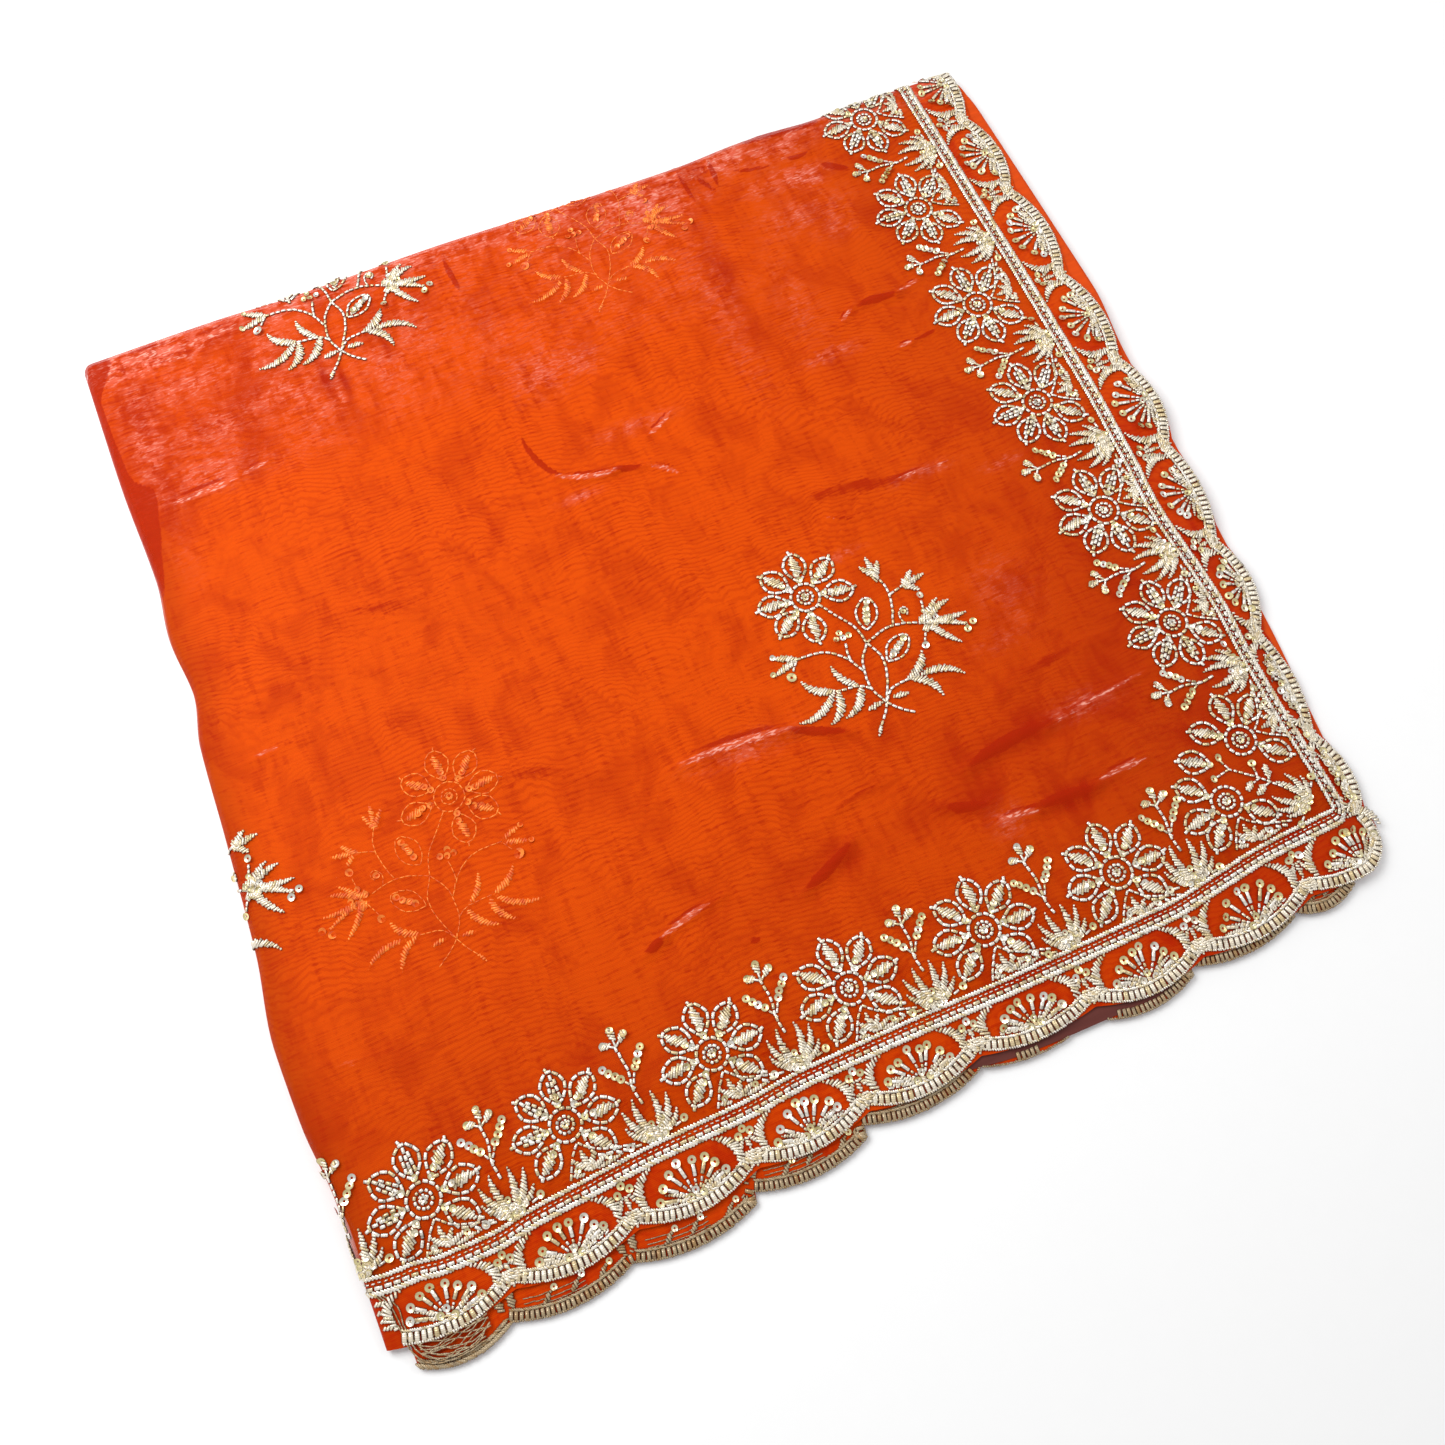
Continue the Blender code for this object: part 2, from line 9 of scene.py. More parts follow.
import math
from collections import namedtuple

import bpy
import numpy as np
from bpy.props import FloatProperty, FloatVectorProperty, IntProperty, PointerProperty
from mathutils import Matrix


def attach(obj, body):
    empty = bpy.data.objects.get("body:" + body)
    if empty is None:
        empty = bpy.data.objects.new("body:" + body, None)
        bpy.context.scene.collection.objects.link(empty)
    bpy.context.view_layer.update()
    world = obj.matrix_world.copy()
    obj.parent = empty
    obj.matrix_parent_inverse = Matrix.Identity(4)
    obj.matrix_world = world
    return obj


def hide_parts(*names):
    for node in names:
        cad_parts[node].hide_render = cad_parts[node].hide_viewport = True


bl_info = {
    "name": "Folded embroidered sari",
    "version": (1, 0, 0),
    "blender": (4, 5, 0),
    "location": "View3D > Sidebar > Sari",
    "description": "Builds a folded organza sari with scalloped zari edgings",
    "category": "Add Mesh",
}

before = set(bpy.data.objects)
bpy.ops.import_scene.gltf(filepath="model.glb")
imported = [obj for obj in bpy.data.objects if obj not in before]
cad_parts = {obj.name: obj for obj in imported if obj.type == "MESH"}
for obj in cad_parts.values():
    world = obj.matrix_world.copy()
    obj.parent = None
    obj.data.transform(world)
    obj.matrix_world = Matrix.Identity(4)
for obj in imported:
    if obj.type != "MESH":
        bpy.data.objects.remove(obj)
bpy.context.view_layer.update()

MM = 0.001

# Layers, in millimetres: depths are taken from the top face of the cloth.
STACK_TOP = 10.0
WALL = 1.2
GAP = 0.5
TOP = STACK_TOP + GAP + WALL
LOWER_DEPTH = WALL + GAP
STACK_DEPTH = WALL + GAP
UNDER_DEPTH = 0.9

# The rolled folds on the left and far sides.
FOLD_RADIUS = 7.0
FOLD_END = 2.4
LOWEST_ROLL = 5.4
SLOPE_STEP = 0.5

# How far the near and end sides sink towards the surface they lie on.
MOST_DROP = 8.4
NEAR_DROP_START = -215.0
NEAR_DROP_RUN = 88.0
END_DROP_LEAD = 7.0

# Scalloped edging: distances from the middle of the cord band.
CORNER_X = 249.7
CORNER_Y = -240.7
CORNER_RADIUS = 5.8
CORNER_RUN = 50.0
NOTCH_DEPTH = 8.5
CLOTH_NOTCH_DEPTH = 4.6
LOWER_NOTCH_DEPTH = 6.5
RIM_START = -288.0

# The stack of hidden layers.
STACK_INNER_NEAR = -204.0
STACK_INNER_END = 236.0
LOWER_INNER_EDGE = -226.0
LOWER_START = 5.0
LOWER_ROOM = 1.9
LOWER_END_Y = -262.0
FOLDED_SHARE = 0.07
STACK_CORNERS = (0.012, 0.14, 0.08, 0.08)
STACK_EDGE_INSET = 1.5

# First guesses of the cloths' sizes, and the passes that settle their grids on the real outline.
FIRST_GUESS = 600.0
EDGING_LENGTH_GUESS = 500
EDGING_WIDTH_GUESS = 20
PASSES = 4

Scallop = namedtuple("Scallop", "start end rim")
Crease = namedtuple("Crease", "x y to_x to_y half_width rise bow lit")
Patch = namedtuple("Patch", "x y wide high amount")
Spot = namedtuple("Spot", "x y")

# Outlines seen from above: x of a side at each y, or y of a side at each x.
LEFT_FOLD = (
    (-258, -297), (-212, -297.5), (-170, -301.8), (-130, -302.7), (-80, -296.7), (-15, -293),
    (40, -290.5), (72, -285), (108, -288), (146, -284.6), (215, -286.5), (300, -285.7),
)
FAR_FOLD = (
    (-290, 303.9), (-202, 302.8), (-152, 300), (-62, 299.6), (13, 296.6), (103, 294.2), (148, 295.8),
    (205, 293), (240, 293),
)
CORDS_NEAR = (
    (-300, -253.2), (-284, -256.2), (-270, -257), (-258, -259.2), (-232, -259.8), (-212, -257.4),
    (-180, -255.8), (-140, -254.2), (-100, -254.2), (-60, -252), (-10, -252.5), (60, -254.2),
    (145, -254.5), (172, -251.7), (210, -247.6), (CORNER_X, CORNER_Y - CORNER_RADIUS),
)
RIM_NEAR = (
    (-262, -289), (-140, -288.4), (-75, -285.7), (52, -284), (115, -288), (183, -285.8),
    (CORNER_X, -280),
)
CORDS_END = (
    (CORNER_Y, CORNER_X + CORNER_RADIUS), (-200, 254.8), (-152, 255.8), (-112, 258.4), (-50, 255.6),
    (-15, 258.7), (50, 262), (200, 263.5), (300, 263.6),
)
RIM_END = (
    (CORNER_Y, 275.5), (-165, 278), (-108, 287.3), (-45, 290.8), (18, 298.8), (85, 297.2), (220, 298.8),
    (300, 297.5),
)
PLAIN_FOLD_END = (
    (-262, 268), (-198, 275), (-138, 282.5), (-78, 287), (-15, 292.4), (57, 296.8), (105, 302.6),
    (250, 302.8), (300, 301.5),
)
STACK_NEAR = (
    (-296, -280.5), (-288, -272), (-278, -264), (-200, -262.5), (220, -258),
)
END_DROP = (
    (-280, 8), (-150, 8), (-80, 6), (0, 4), (100, 2.5), (300, 2.5),
)

# Notches between the scallops: x along the near edging, y along the end edging.
NOTCHES_NEAR = (-297.0, -231.5, -167.5, -102.5, -41.0, 22.0, 87.0, 151.0, 219.0)
NOTCHES_END = (-200.5, -138.0, -78.5, -13.0, 51.0, 118.5, 189.5, 251.0, 312.0)
CORNER_NOTCH_SHARE = 0.56

# Scallops of the lower half of the width, which show past the near edging.
LOWER_SCALLOPS = tuple(Scallop(*row) for row in (
    (-286, -239, -303.7), (-239, -176, -302.8), (-176, -110, -302.5), (-110, -47, -297),
    (-47, 19, -291), (19, 86, -290.3), (86, 142, -294.4), (142, 206, -289.9), (206, 244, -287.5),
))

# A fold between the two edgings that lies in shade.
SHADED_EDGE = (
    (12, -282.6), (40, -287), (60, -288.4), (128, -290.4),
)
SHADED_START = 12.0
SHADED_END = 128.0
SHADED_TOP = -268.0
SHADED_DEPTH = 1.2

# Creases of the cloth: from and to, half width, rise, how far the middle bows to the left, and
# the share of the length with a painted highlight before it turns to painted shade. All of it has the painted
# highlight at 2, none at -1.
CREASES = tuple(Crease(*row) for row in (
    (-60.5, 147, -49, 112, 2.4, 0.9, -3, -1), (-51, 113, -16, 102.5, 3.4, 1.8, -2.5, 2),
    (-19, 103, -2, 98.5, 2.8, 1.2, 0, -1), (0, 98, 15, 86, 3.2, 0.8, 1, 2),
    (8, 117, 27, 126, 2.8, 0.9, -1, 2), (-55, -78, 10, -84, 4.6, 1.6, 2, 2),
    (4, -83, 36, -98, 3.6, 1.4, 0, -1), (83, -142.5, 136, -137, 5.2, 1.4, 2, -1),
    (134, -140, 202, -133, 3, 0.7, 1, 2), (-24, -167, 10, -153, 4.2, 1.2, -1, -1),
    (62, -156, 87, -165, 4.4, 1.2, -1, -1), (84, -176, 108, -179, 3.4, 0.8, 1, 2),
    (108, -177, 143, -180, 4.4, 1.4, 1, -1), (144, -178, 174, -177, 3.2, 0.9, 1, 2),
    (147, 141, 156, 147, 2.8, 0.9, 0, 2), (160, 147.5, 187, 145.5, 4, 1.4, 1, -1),
    (186, 146, 204, 150, 2.4, 0.8, 0, 2), (171, 111, 180, 110.5, 2.6, 0.9, 0, 2),
    (180, 111, 198, 112.5, 2, 0.8, 0, -1), (-58, 288, -56, 254, 2.4, 0.8, -1, -1),
    (101, 290, 102, 258, 2.2, 0.8, 0, -1), (104, 283, 117, 262, 2.4, 1, 2, 0.4),
    (122, 288, 120, 264, 2.2, 0.9, 1, -1), (133, 273, 158, 267, 1.9, 0.9, -1, -1),
    (163, 270, 185, 267, 2.4, 0.9, -2, 0.3), (160, 292, 197, 286, 4, 0.9, 1, -1),
    (187, 255, 203, 243, 4.2, 0.9, 0, -1), (-268, 20, -236, 20, 3.4, 0.5, 1, 0.6),
    (-262, 187, -224, 188, 4.6, 1, 0, 2), (-262, 292, -228, 289, 6.5, 0.7, 1, 2),
    (-224, 289, -186, 291, 5.5, 0.7, -1, 2), (-250, 282, -214, 279, 4, 0.6, 2, 2),
    (-217, 189, -202, 192, 3.4, 0.9, 0, 2), (-112, -163, -101, -160, 3.6, 1, 0, -1),
    (-102, -159, -64, -152, 3, 0.9, 1, 0.8), (-61, -179, -55, -181, 3, 0.8, 0, -1),
    (3, -136, 46, -130, 3.4, 0.5, 1, -1), (60, 40, 150, 22, 9, 0.5, 5, -1),
    (80, 25, 98, 17, 1.8, 0.7, -1, 0.3), (128, 30, 162, 29, 2.2, 0.9, 0, 2),
    (-210, 90, -120, 70, 10, 0.4, -5, -1), (-170, -40, -90, -66, 9, 0.4, 4, -1),
    (120, -112, 190, -104, 6, 0.5, 3, -1), (-280, -150, -236, -166, 6, 0.35, 2, 0.4),
))
CREASE_REACH = 4.5
STEEP_SIDE = 1.9
TROUGH_PLACE = 1.9
TROUGH_SHARE = 0.35

# The inner edge of the strip of painted shade at the far end of the left fold, where it turns away from the
# light: x of it at each y.
STRIP_EDGE = (
    (118, -281), (153, -274), (176, -269), (200, -265.5), (212, -275.5), (240, -278), (268, -278.5),
    (293, -266.5),
)

# Long, low waves over the whole cloth: wave length, direction in degrees and rise.
Wave = namedtuple("Wave", "length turn rise")
WAVES = tuple(Wave(*row) for row in (
    (173, 68, 0.30), (97, 101, 0.22), (61, 35, 0.12), (37, 84, 0.07),
))

# Soft patches of painted pink sheen, and of painted shade: middle, half sizes and amount.
SHINES = tuple(Patch(*row) for row in (
    (-262, 238, 8, 60, 0.75), (-230, 290, 44, 7.5, 2.6), (-232, 262, 34, 9, 0.6),
    (-225, 226, 26, 9, 0.55), (-178, 262, 14, 16, 0.6), (-186, 234, 26, 12, 0.5),
    (-236, 198, 34, 9, 0.55), (-162, 214, 12, 22, 0.35), (-118, 236, 12, 26, 0.35),
    (-92, 250, 12, 20, 0.45), (-36, 181, 15, 13, 0.6), (-52, 232, 7, 22, 0.35), (-8, 182, 9, 8, 0.75),
    (2, 126, 20, 4, 0.5), (42, 268, 42, 16, 0.6), (80, 272, 20, 16, 1), (176, 249, 11, 6, 1.4),
    (112, 262, 5, 3, 1), (128, 281, 22, 8, 0.85), (168, 278, 18, 8, 0.85), (160, -136, 15, 5, 0.9),
    (154, 254, 20, 8, 0.6), (160, 224, 24, 11, 0.5), (174, 206, 10, 8, 0.4), (84, 176, 9, 42, 0.35),
    (126, 170, 14, 30, 0.2), (132, 123, 14, 4, 0.8), (-44, 95, 9, 2.6, 0.8), (152, -58, 13, 15, 0.42),
    (136, -84, 12, 5, 0.3), (145, 28, 14, 3, 0.7), (190, 15, 9, 2.6, 0.7), (80, -1, 8, 2.4, 0.7),
    (89, -176, 7, 8, 0.5), (-20, -84, 22, 6, 0.5), (-148, 230, 2.2, 18, 0.9),
))
SHADES = tuple(Patch(*row) for row in (
    (96, 200, 6.5, 50, 0.55), (-222, 236, 64, 44, 0.30), (-278, 225, 26, 80, 0.30),
    (-153, 232, 3.2, 20, 0.75), (-143, 226, 2.4, 17, 0.65), (-112, 242, 2.6, 16, 0.45),
    (-95, 262, 60, 30, 0.12), (210, 200, 14, 80, 0.25), (122, -138, 34, 12, 0.45),
    (-12, -160, 34, 10, 0.40), (76, -160, 20, 8, 0.35), (128, -180, 26, 8, 0.45),
    (120, -125, 120, 60, 0.22), (205, -60, 40, 120, 0.22),
))

# Embroidery, in millimetres.
LIFT = 0.05
DASH_PITCH = 4.2
DASH_GAP = 0.25
DASH_WIDTH = 2.0
DASH_HEIGHT = 1.1
LEAF_RISE = 0.9
PRISM_SIDES = 6
POINT_SHARE = 0.22
SHORTEST = 0.01
SATIN_PITCH = 1.45
SATIN_LEAST = 4
SATIN_UNEVEN = 0.14
SATIN_SPREAD = 0.35
SATIN_SLANT = 0.6
SEQUIN_RADIUS = 1.9
SEQUIN_SIDES = 12
SEQUIN_CUP = ((1.0, 0.75), (0.62, 0.42), (0.3, 0.25))  # share of the radius, and height there
SEQUIN_LEAN = 0.19
THREAD_UNEVEN = 0.12
SEQUIN_UNEVEN = 0.2
CORD_PITCH = 1.7
CORD_SLANT = 0.62
CORD_LEAD = 8.0
FAN_STALKS = 8
LADDER = (5.4, 3.2)  # how far in the rim goes, and the pitch of its blocks
LOWER_LADDER = (4.6, 2.6)
BLOCK_SHARE = 0.88
RIM_CORD_PITCH = 1.25
LOWER_CORD_PITCH = 1.15
PETAL_START = 10.0
PETAL_LENGTH = 18.4
PETAL_WIDTH = 13.2
PALMETTE_FOOT = 5.2
FOLD_MARGIN = 2.5

# The cloths: where the ground meets the edgings under the cords, and how far the rim overhangs.
CLOTH_JOINT = -3.6
RIM_INSET = 0.5
STACK_TOP_SHARES = (0.0, 0.004, 0.01, 0.02, 0.035, 0.055, 0.08, 0.12, 0.17, 0.24, 0.33, 0.45, 0.6, 0.8, 1.0)
FLOOR_HEIGHT = -0.3

# Points of the cloths' grids: columns and rows, and the ground's side in metres.
ROLL_STEPS = 8
GROUND_SIDE = 0.56
EDGING_GRID = (420, 26)
LOWER_GRID = (420, 36)
SHADED_GRID = (60, 10)
LAYER_STEPS = 6
CORNER_SQUARE_STEPS = 100

# How far the folded layers bulge and lie out of line at the sides, and all of them stand out.
LAYER_BULGE = 1.1
LAYER_SHIFT = 0.35
SIDE_OUT = 0.4

# The UV of the layers' sides: metres all round, and how much their height is stretched.
SIDE_RUN = 2.3
SIDE_STRETCH = 4

# The moire lines of the weave, in metres from one to the next. What the weave gives to the colour and light
# group, the group's masks of painted light with the attribute that each of them reads, and the material of
# each part.
MOIRE_PITCH = 0.0031
WEAVE_VALUES = ("Slubs", "Watering", "Specks", "Mottle", "Crumple")
CLOTH_MASKS = {"Shine": "shine", "Shade": "shade", "Turned": "brown", "Glint": "glint", "Fold": "fold"}
MATERIALS = {
    "ground": "sheer_organza",
    "edging": "edging_organza",
    "layers": "layered_organza",
    "thread": "bugle_thread",
    "satin": "satin_thread",
    "sequin": "sequin_foil",
    "under": "under_thread",
    "dim_satin": "dim_satin",
    "shaded": "shaded_organza",
}

# Colours of the painted glints on the cloth, and of the darkest parts of the stitches: gaps in their twist,
# spots, and painted shade at their sides and ends.
# DIM_THREAD belongs to the lower edging's satin, which is painted in shade.
GLINT_COLOUR = (1.0, 0.46, 0.36)
DARK_THREAD = (0.10, 0.045, 0.016)
DIM_THREAD = (0.06, 0.02, 0.01)
DARK_FOIL = (0.3, 0.2, 0.06)
UNDER_DARK = (0.62, 0.07, 0.004)

# Where the embroidery lies. The petals' turns leave out the one that would point at the cords.
BORDER_PETALS = (90, 45, 0, -45, -135, 180, 135)
FIRST_BEADED = (90, 135, 180)
END_BEADED = (90, 0, -45, 180, 135)
NEAR_FLOWERS = tuple(Spot(*row) for row in (
    (-256.4, -228.5), (-181.1, -224.5), (-101.7, -223), (-24.9, -222), (51.5, -223.5), (128.7, -225.5),
))
END_FLOWERS = tuple(Spot(228.3, y) for y in (-114.1, -37.2, 42.2, 118.0, 197.4, 275.1))
CORNER_FLOWERS = (
    (Spot(226.5, -189.3), (90, 145, 45, -42), 90),
    (Spot(201.3, -215.9), (138, 190, 228, -40), 0),
)
NEAR_PALMETTES = (-295.0, -218.7, -141.4, -63.3, 13.3, 90.1, 165.0)
END_PALMETTES = (-152.3, -75.7, 2.5, 80.0, 157.7, 236.0)
CORNER_PALMETTE = Spot(242.0, -234.5)
TOP_SPRAYS = (
    (Spot(61.5, -91.4), 0, False),
    (Spot(-137.8, 245.5), 0, False),
    (Spot(-328.8, -82.5), 0, False),
)
UNDER_SPRAYS = (
    (Spot(-198, -116.5), -7, True),
    (Spot(27.5, 224), 0, False),
)
UNDER_DASH_SHARE = 0.45
UNDER_LEAF_SHARE = 0.75


def curve(table, at):
    """A smooth line through a table's points, level beyond its ends.

    Its pieces are cubic Hermite curves. The slope at a point is the harmonic mean of its
    neighbours' slopes, or level at a peak, so that the line never swings past its points.
    """
    along, across = np.array(table, float).T
    rises = np.diff(across) / np.diff(along)
    product = rises[:-1] * rises[1:]
    total = np.where(product > 0, rises[:-1] + rises[1:], 1.0)
    inner = np.where(product > 0, 2 * product / total, 0.0)
    slope = np.concatenate([rises[:1], inner, rises[-1:]])
    at = np.clip(np.asarray(at, float), along[0], along[-1])
    piece = cell_of(along[:-1], at)
    width = along[piece + 1] - along[piece]
    t = (at - along[piece]) / width
    start = (1 + 2 * t) * (1 - t) ** 2 * across[piece]
    end = t * t * (3 - 2 * t) * across[piece + 1]
    bends = t * (1 - t) ** 2 * slope[piece] - t * t * (1 - t) * slope[piece + 1]
    return start + end + width * bends


def cell_of(starts, at):
    """The number of the cell that each place lies in, from the places where the cells start."""
    return np.clip(np.searchsorted(starts, at, side="right") - 1, 0, len(starts) - 1)


def ease(t):
    """A smooth step from 0 to 1: half a cosine wave."""
    return 0.5 - 0.5 * np.cos(np.pi * np.clip(t, 0, 1))


def bell(*distances):
    """1 in the middle, falling as the exponential of the distances' squares."""
    return np.exp(-sum(distance**2 for distance in distances))


def together(*parts):
    """Coordinates as the last axis of one array."""
    return np.stack(np.broadcast_arrays(*parts), axis=-1)


def unit(vectors):
    return vectors / np.linalg.norm(vectors, axis=-1, keepdims=True)


def right_of(runs):
    """Flat directions turned clockwise by a right angle."""
    return together(runs[..., 1], -runs[..., 0])


def unit_circle(turn):
    return together(np.cos(turn), np.sin(turn))


def plain_height(x, y):
    """Height of the top face without creases: level, sinking towards the near and end sides."""
    near = ease((NEAR_DROP_START - y) / NEAR_DROP_RUN)
    start = curve(CORDS_END, y) - END_DROP_LEAD
    end = curve(END_DROP, y) / MOST_DROP * ease((x - start) / (curve(RIM_END, y) - start))
    return TOP - MOST_DROP * (1 - (1 - near) * (1 - end))


def crease_places(crease, x, y):
    """Where points lie by a crease whose middle bows out as a parabola.

    Returns the distance across it and the distance beyond its ends, both in half widths, and the
    share of its length.
    """
    run_x, run_y = crease.to_x - crease.x, crease.to_y - crease.y
    length = math.hypot(run_x, run_y)
    along = ((x - crease.x) * run_x + (y - crease.y) * run_y) / length
    across = ((y - crease.y) * run_x - (x - crease.x) * run_y) / length
    share = np.clip(along / length, 0, 1)
    across = across - 4 * crease.bow * share * (1 - share)
    beyond = np.maximum(0, np.abs(along - length / 2) - length / 2)
    return across / crease.half_width, beyond / crease.half_width, share


def crease_rise(x, y):
    """Rise of the creases: bells, steeper on one side, with a shallow trough before them."""
    x, y = np.broadcast_arrays(np.asarray(x, float), np.asarray(y, float))
    shape, x, y = x.shape, x.ravel(), y.ravel()
    rise = np.zeros(len(x))
    for crease in CREASES:
        reach = CREASE_REACH * crease.half_width + abs(crease.bow)
        near = np.ones(len(x), bool)
        for at, start, end in ((x, crease.x, crease.to_x), (y, crease.y, crease.to_y)):
            near &= np.abs(at - (start + end) / 2) < abs(end - start) / 2 + reach
        across, beyond, _ = crease_places(crease, x[near], y[near])
        ridge = bell(across * np.where(across > 0, STEEP_SIDE, 1.0), beyond)
        rise[near] += crease.rise * (ridge - TROUGH_SHARE * bell(across + TROUGH_PLACE, beyond))
    return rise.reshape(shape)


def wave_rise(x, y):
    """Rise of the long, low waves: a sum of sines."""
    rise = np.zeros(np.broadcast(x, y).shape)
    for number, wave in enumerate(WAVES):
        turn = math.radians(wave.turn)
        place = (x * math.cos(turn) + y * math.sin(turn)) / wave.length
        rise += wave.rise * np.sin(2 * np.pi * place + 1.7 * number)
    return rise


def cloth_rise(x, y):
    """Rise of the creases and waves together, fading out towards the edgings."""
    fade = ease((y - LOWER_END_Y) / 60)
    return crease_rise(x, y) + wave_rise(x, y) * fade


def trough_rise(x, y):
    """The creases' troughs alone, for the layers under the top cloth."""
    return np.minimum(crease_rise(x, y), 0)


def no_rise(x, y):
    """The rise of a layer without creases."""
    return np.zeros(np.broadcast(x, y).shape)


def left_roll(q):
    """Where the left fold's roll starts, its radius and the length of cloth that goes round it."""
    height = plain_height(0.0, q) - FOLD_END
    radius = FOLD_RADIUS * np.clip(height / LOWEST_ROLL, 0, 1)
    length = np.pi / 2 * np.sqrt((radius**2 + height**2) / 2)
    return curve(LEFT_FOLD, q) + radius, radius, length


def far_roll(p):
    """The start and the length of the far fold's roll."""
    height = plain_height(p, 0.0) - FOLD_END
    length = np.pi / 2 * np.sqrt((FOLD_RADIUS**2 + height**2) / 2)
    return curve(FAR_FOLD, p) - FOLD_RADIUS, length


def cloth_ends(p, q):
    """Where the rolls end: p of the left one and q of the far one."""
    left, _, left_length = left_roll(q)
    far, far_length = far_roll(p)
    return left - left_length, far + far_length


def lay(p, q, depth=0.0, rise=cloth_rise):
    """Places of pattern points (p, q), this far under the top face.

    Each roll is a quarter of an ellipse, and where the two folds meet, the square of the pattern is
    mapped to a quarter disc, so the corner is part of an ellipsoid. The depth is taken along the
    surface's normal.
    """
    left, radius, left_length = left_roll(q)
    far, far_length = far_roll(p)
    a = np.sin(np.pi / 2 * np.clip((left - p) / left_length, 0, 1))
    b = np.sin(np.pi / 2 * np.clip((q - far) / far_length, 0, 1))
    u = a * np.sqrt(1 - b * b / 2)
    v = b * np.sqrt(1 - a * a / 2)
    x = np.maximum(p, left) - radius * u
    y = np.minimum(q, far) + FOLD_RADIUS * v
    level = np.sqrt(np.maximum(0, 1 - u * u - v * v))

    def height(at_x, at_y):
        return plain_height(at_x, at_y) + rise(at_x, at_y) - FOLD_END

    here = height(x, y)
    slope_x, slope_y = (
        (height(x + step_x, y + step_y) - height(x - step_x, y - step_y)) / (2 * SLOPE_STEP)
        for step_x, step_y in ((SLOPE_STEP, 0), (0, SLOPE_STEP))
    )
    lean_x = -u / radius - level**2 * slope_x / here
    lean_y = v / FOLD_RADIUS - level**2 * slope_y / here
    normal = unit(together(lean_x, lean_y, level / here))
    return together(x, y, FOLD_END + here * level) - np.asarray(depth)[..., None] * normal


def edging_line(s):
    """Cord point, outward direction and reach at s along the edging.

    s is x along the near side, turns the corner in CORNER_RUN, and then goes on with y.
    """
    turn = np.pi / 2 * np.clip((s - CORNER_X) / CORNER_RUN, 0, 1)
    x = np.minimum(s, CORNER_X)
    y = CORNER_Y + np.maximum(s - CORNER_X - CORNER_RUN, 0)
    out_x, out_y = np.sin(turn), -np.cos(turn)
    cord_x = np.where(s > CORNER_X + CORNER_RUN, curve(CORDS_END, y), x + CORNER_RADIUS * out_x)
    corner_y = CORNER_Y + CORNER_RADIUS * out_y
    cord_y = np.where(s < CORNER_X, curve(CORDS_NEAR, x), np.where(turn < np.pi / 2, corner_y, y))
    near_reach = curve(CORDS_NEAR, x) - curve(RIM_NEAR, x)
    end_reach = curve(RIM_END, y) - curve(CORDS_END, y)
    share = ease(2 * turn / np.pi)
    return cord_x, cord_y, out_x, out_y, near_reach * (1 - share) + end_reach * share


def station_of_y(y):
    """s of a point at y along the end edging."""
    return CORNER_X + CORNER_RUN + np.asarray(y, float) - CORNER_Y


def notch_stations():
    """All notches as s along the edging, with the corner's own notch between its two scallops."""
    last_near, first_end = NOTCHES_NEAR[-1], station_of_y(NOTCHES_END[0])
    corner = last_near + CORNER_NOTCH_SHARE * (first_end - last_near)
    return np.array([*NOTCHES_NEAR, corner, *station_of_y(NOTCHES_END)])


def arc_sag(share, chord, depth):
    """How far a circular arc with this chord and depth lies back from its peak."""
    radius = (chord**2 / 4 + depth**2) / (2 * depth)
    return radius - np.sqrt(radius**2 - (chord * (share - 0.5)) ** 2)


def scallop_sag(s, depth=NOTCH_DEPTH):
    """How far the scalloped rim lies back from its peaks at s."""
    notches = notch_stations()
    cell = cell_of(notches[:-1], s)
    chord = notches[cell + 1] - notches[cell]
    return arc_sag(np.clip((s - notches[cell]) / chord, 0, 1), chord, depth)


def cloth_distance(s):
    """Distance of the edging cloth's edge, whose notches are shallower than its rim's."""
    return edging_line(s)[4] - scallop_sag(s, CLOTH_NOTCH_DEPTH)


def rim_distance(s):
    """Distance of the scalloped rim from the cord band's middle at s."""
    return edging_line(s)[4] - scallop_sag(s)


def edge_point(s, t):
    """Pattern point at s along the edging and t outwards from the middle of its cord band."""
    cord_x, cord_y, out_x, out_y, _ = edging_line(s)
    return cord_x + out_x * t, cord_y + out_y * t


def lower_rim(x):
    """y of the lower edging's scalloped rim at x."""
    starts, ends, peaks = np.array(LOWER_SCALLOPS).T
    cell = cell_of(starts, x)
    chord = ends[cell] - starts[cell]
    share = np.clip((x - starts[cell]) / chord, 0, 1)
    return peaks[cell] + arc_sag(share, chord, LOWER_NOTCH_DEPTH)


def grid_quads(rows, columns, closed):
    """Quads of a grid of rows by columns; when closed, the last column joins the first."""
    row = np.arange(rows - 1)[:, None] * columns
    column = np.arange(columns if closed else columns - 1)
    after = (column + 1) % columns
    corners = (row + column, row + after, row + columns + after, row + columns + column)
    return together(*corners).reshape(-1, 4)


def pole_triangles(rows, columns):
    """Fans that close a closed grid's first and last rows to two poles, which follow its points."""
    column = np.arange(columns)
    after = (column + 1) % columns
    base, first = (rows - 1) * columns, rows * columns
    return np.concatenate([together(first, after, column), together(first + 1, base + column, base + after)])


Stitches = namedtuple("Stitches", "points quads triangles uv tone")


def repeat_faces(faces, count, points_each):
    """The same faces for each of count copies with points_each points."""
    shift = (np.arange(count) * points_each)[:, None, None]
    return (faces[None] + shift).reshape(-1, faces.shape[1])


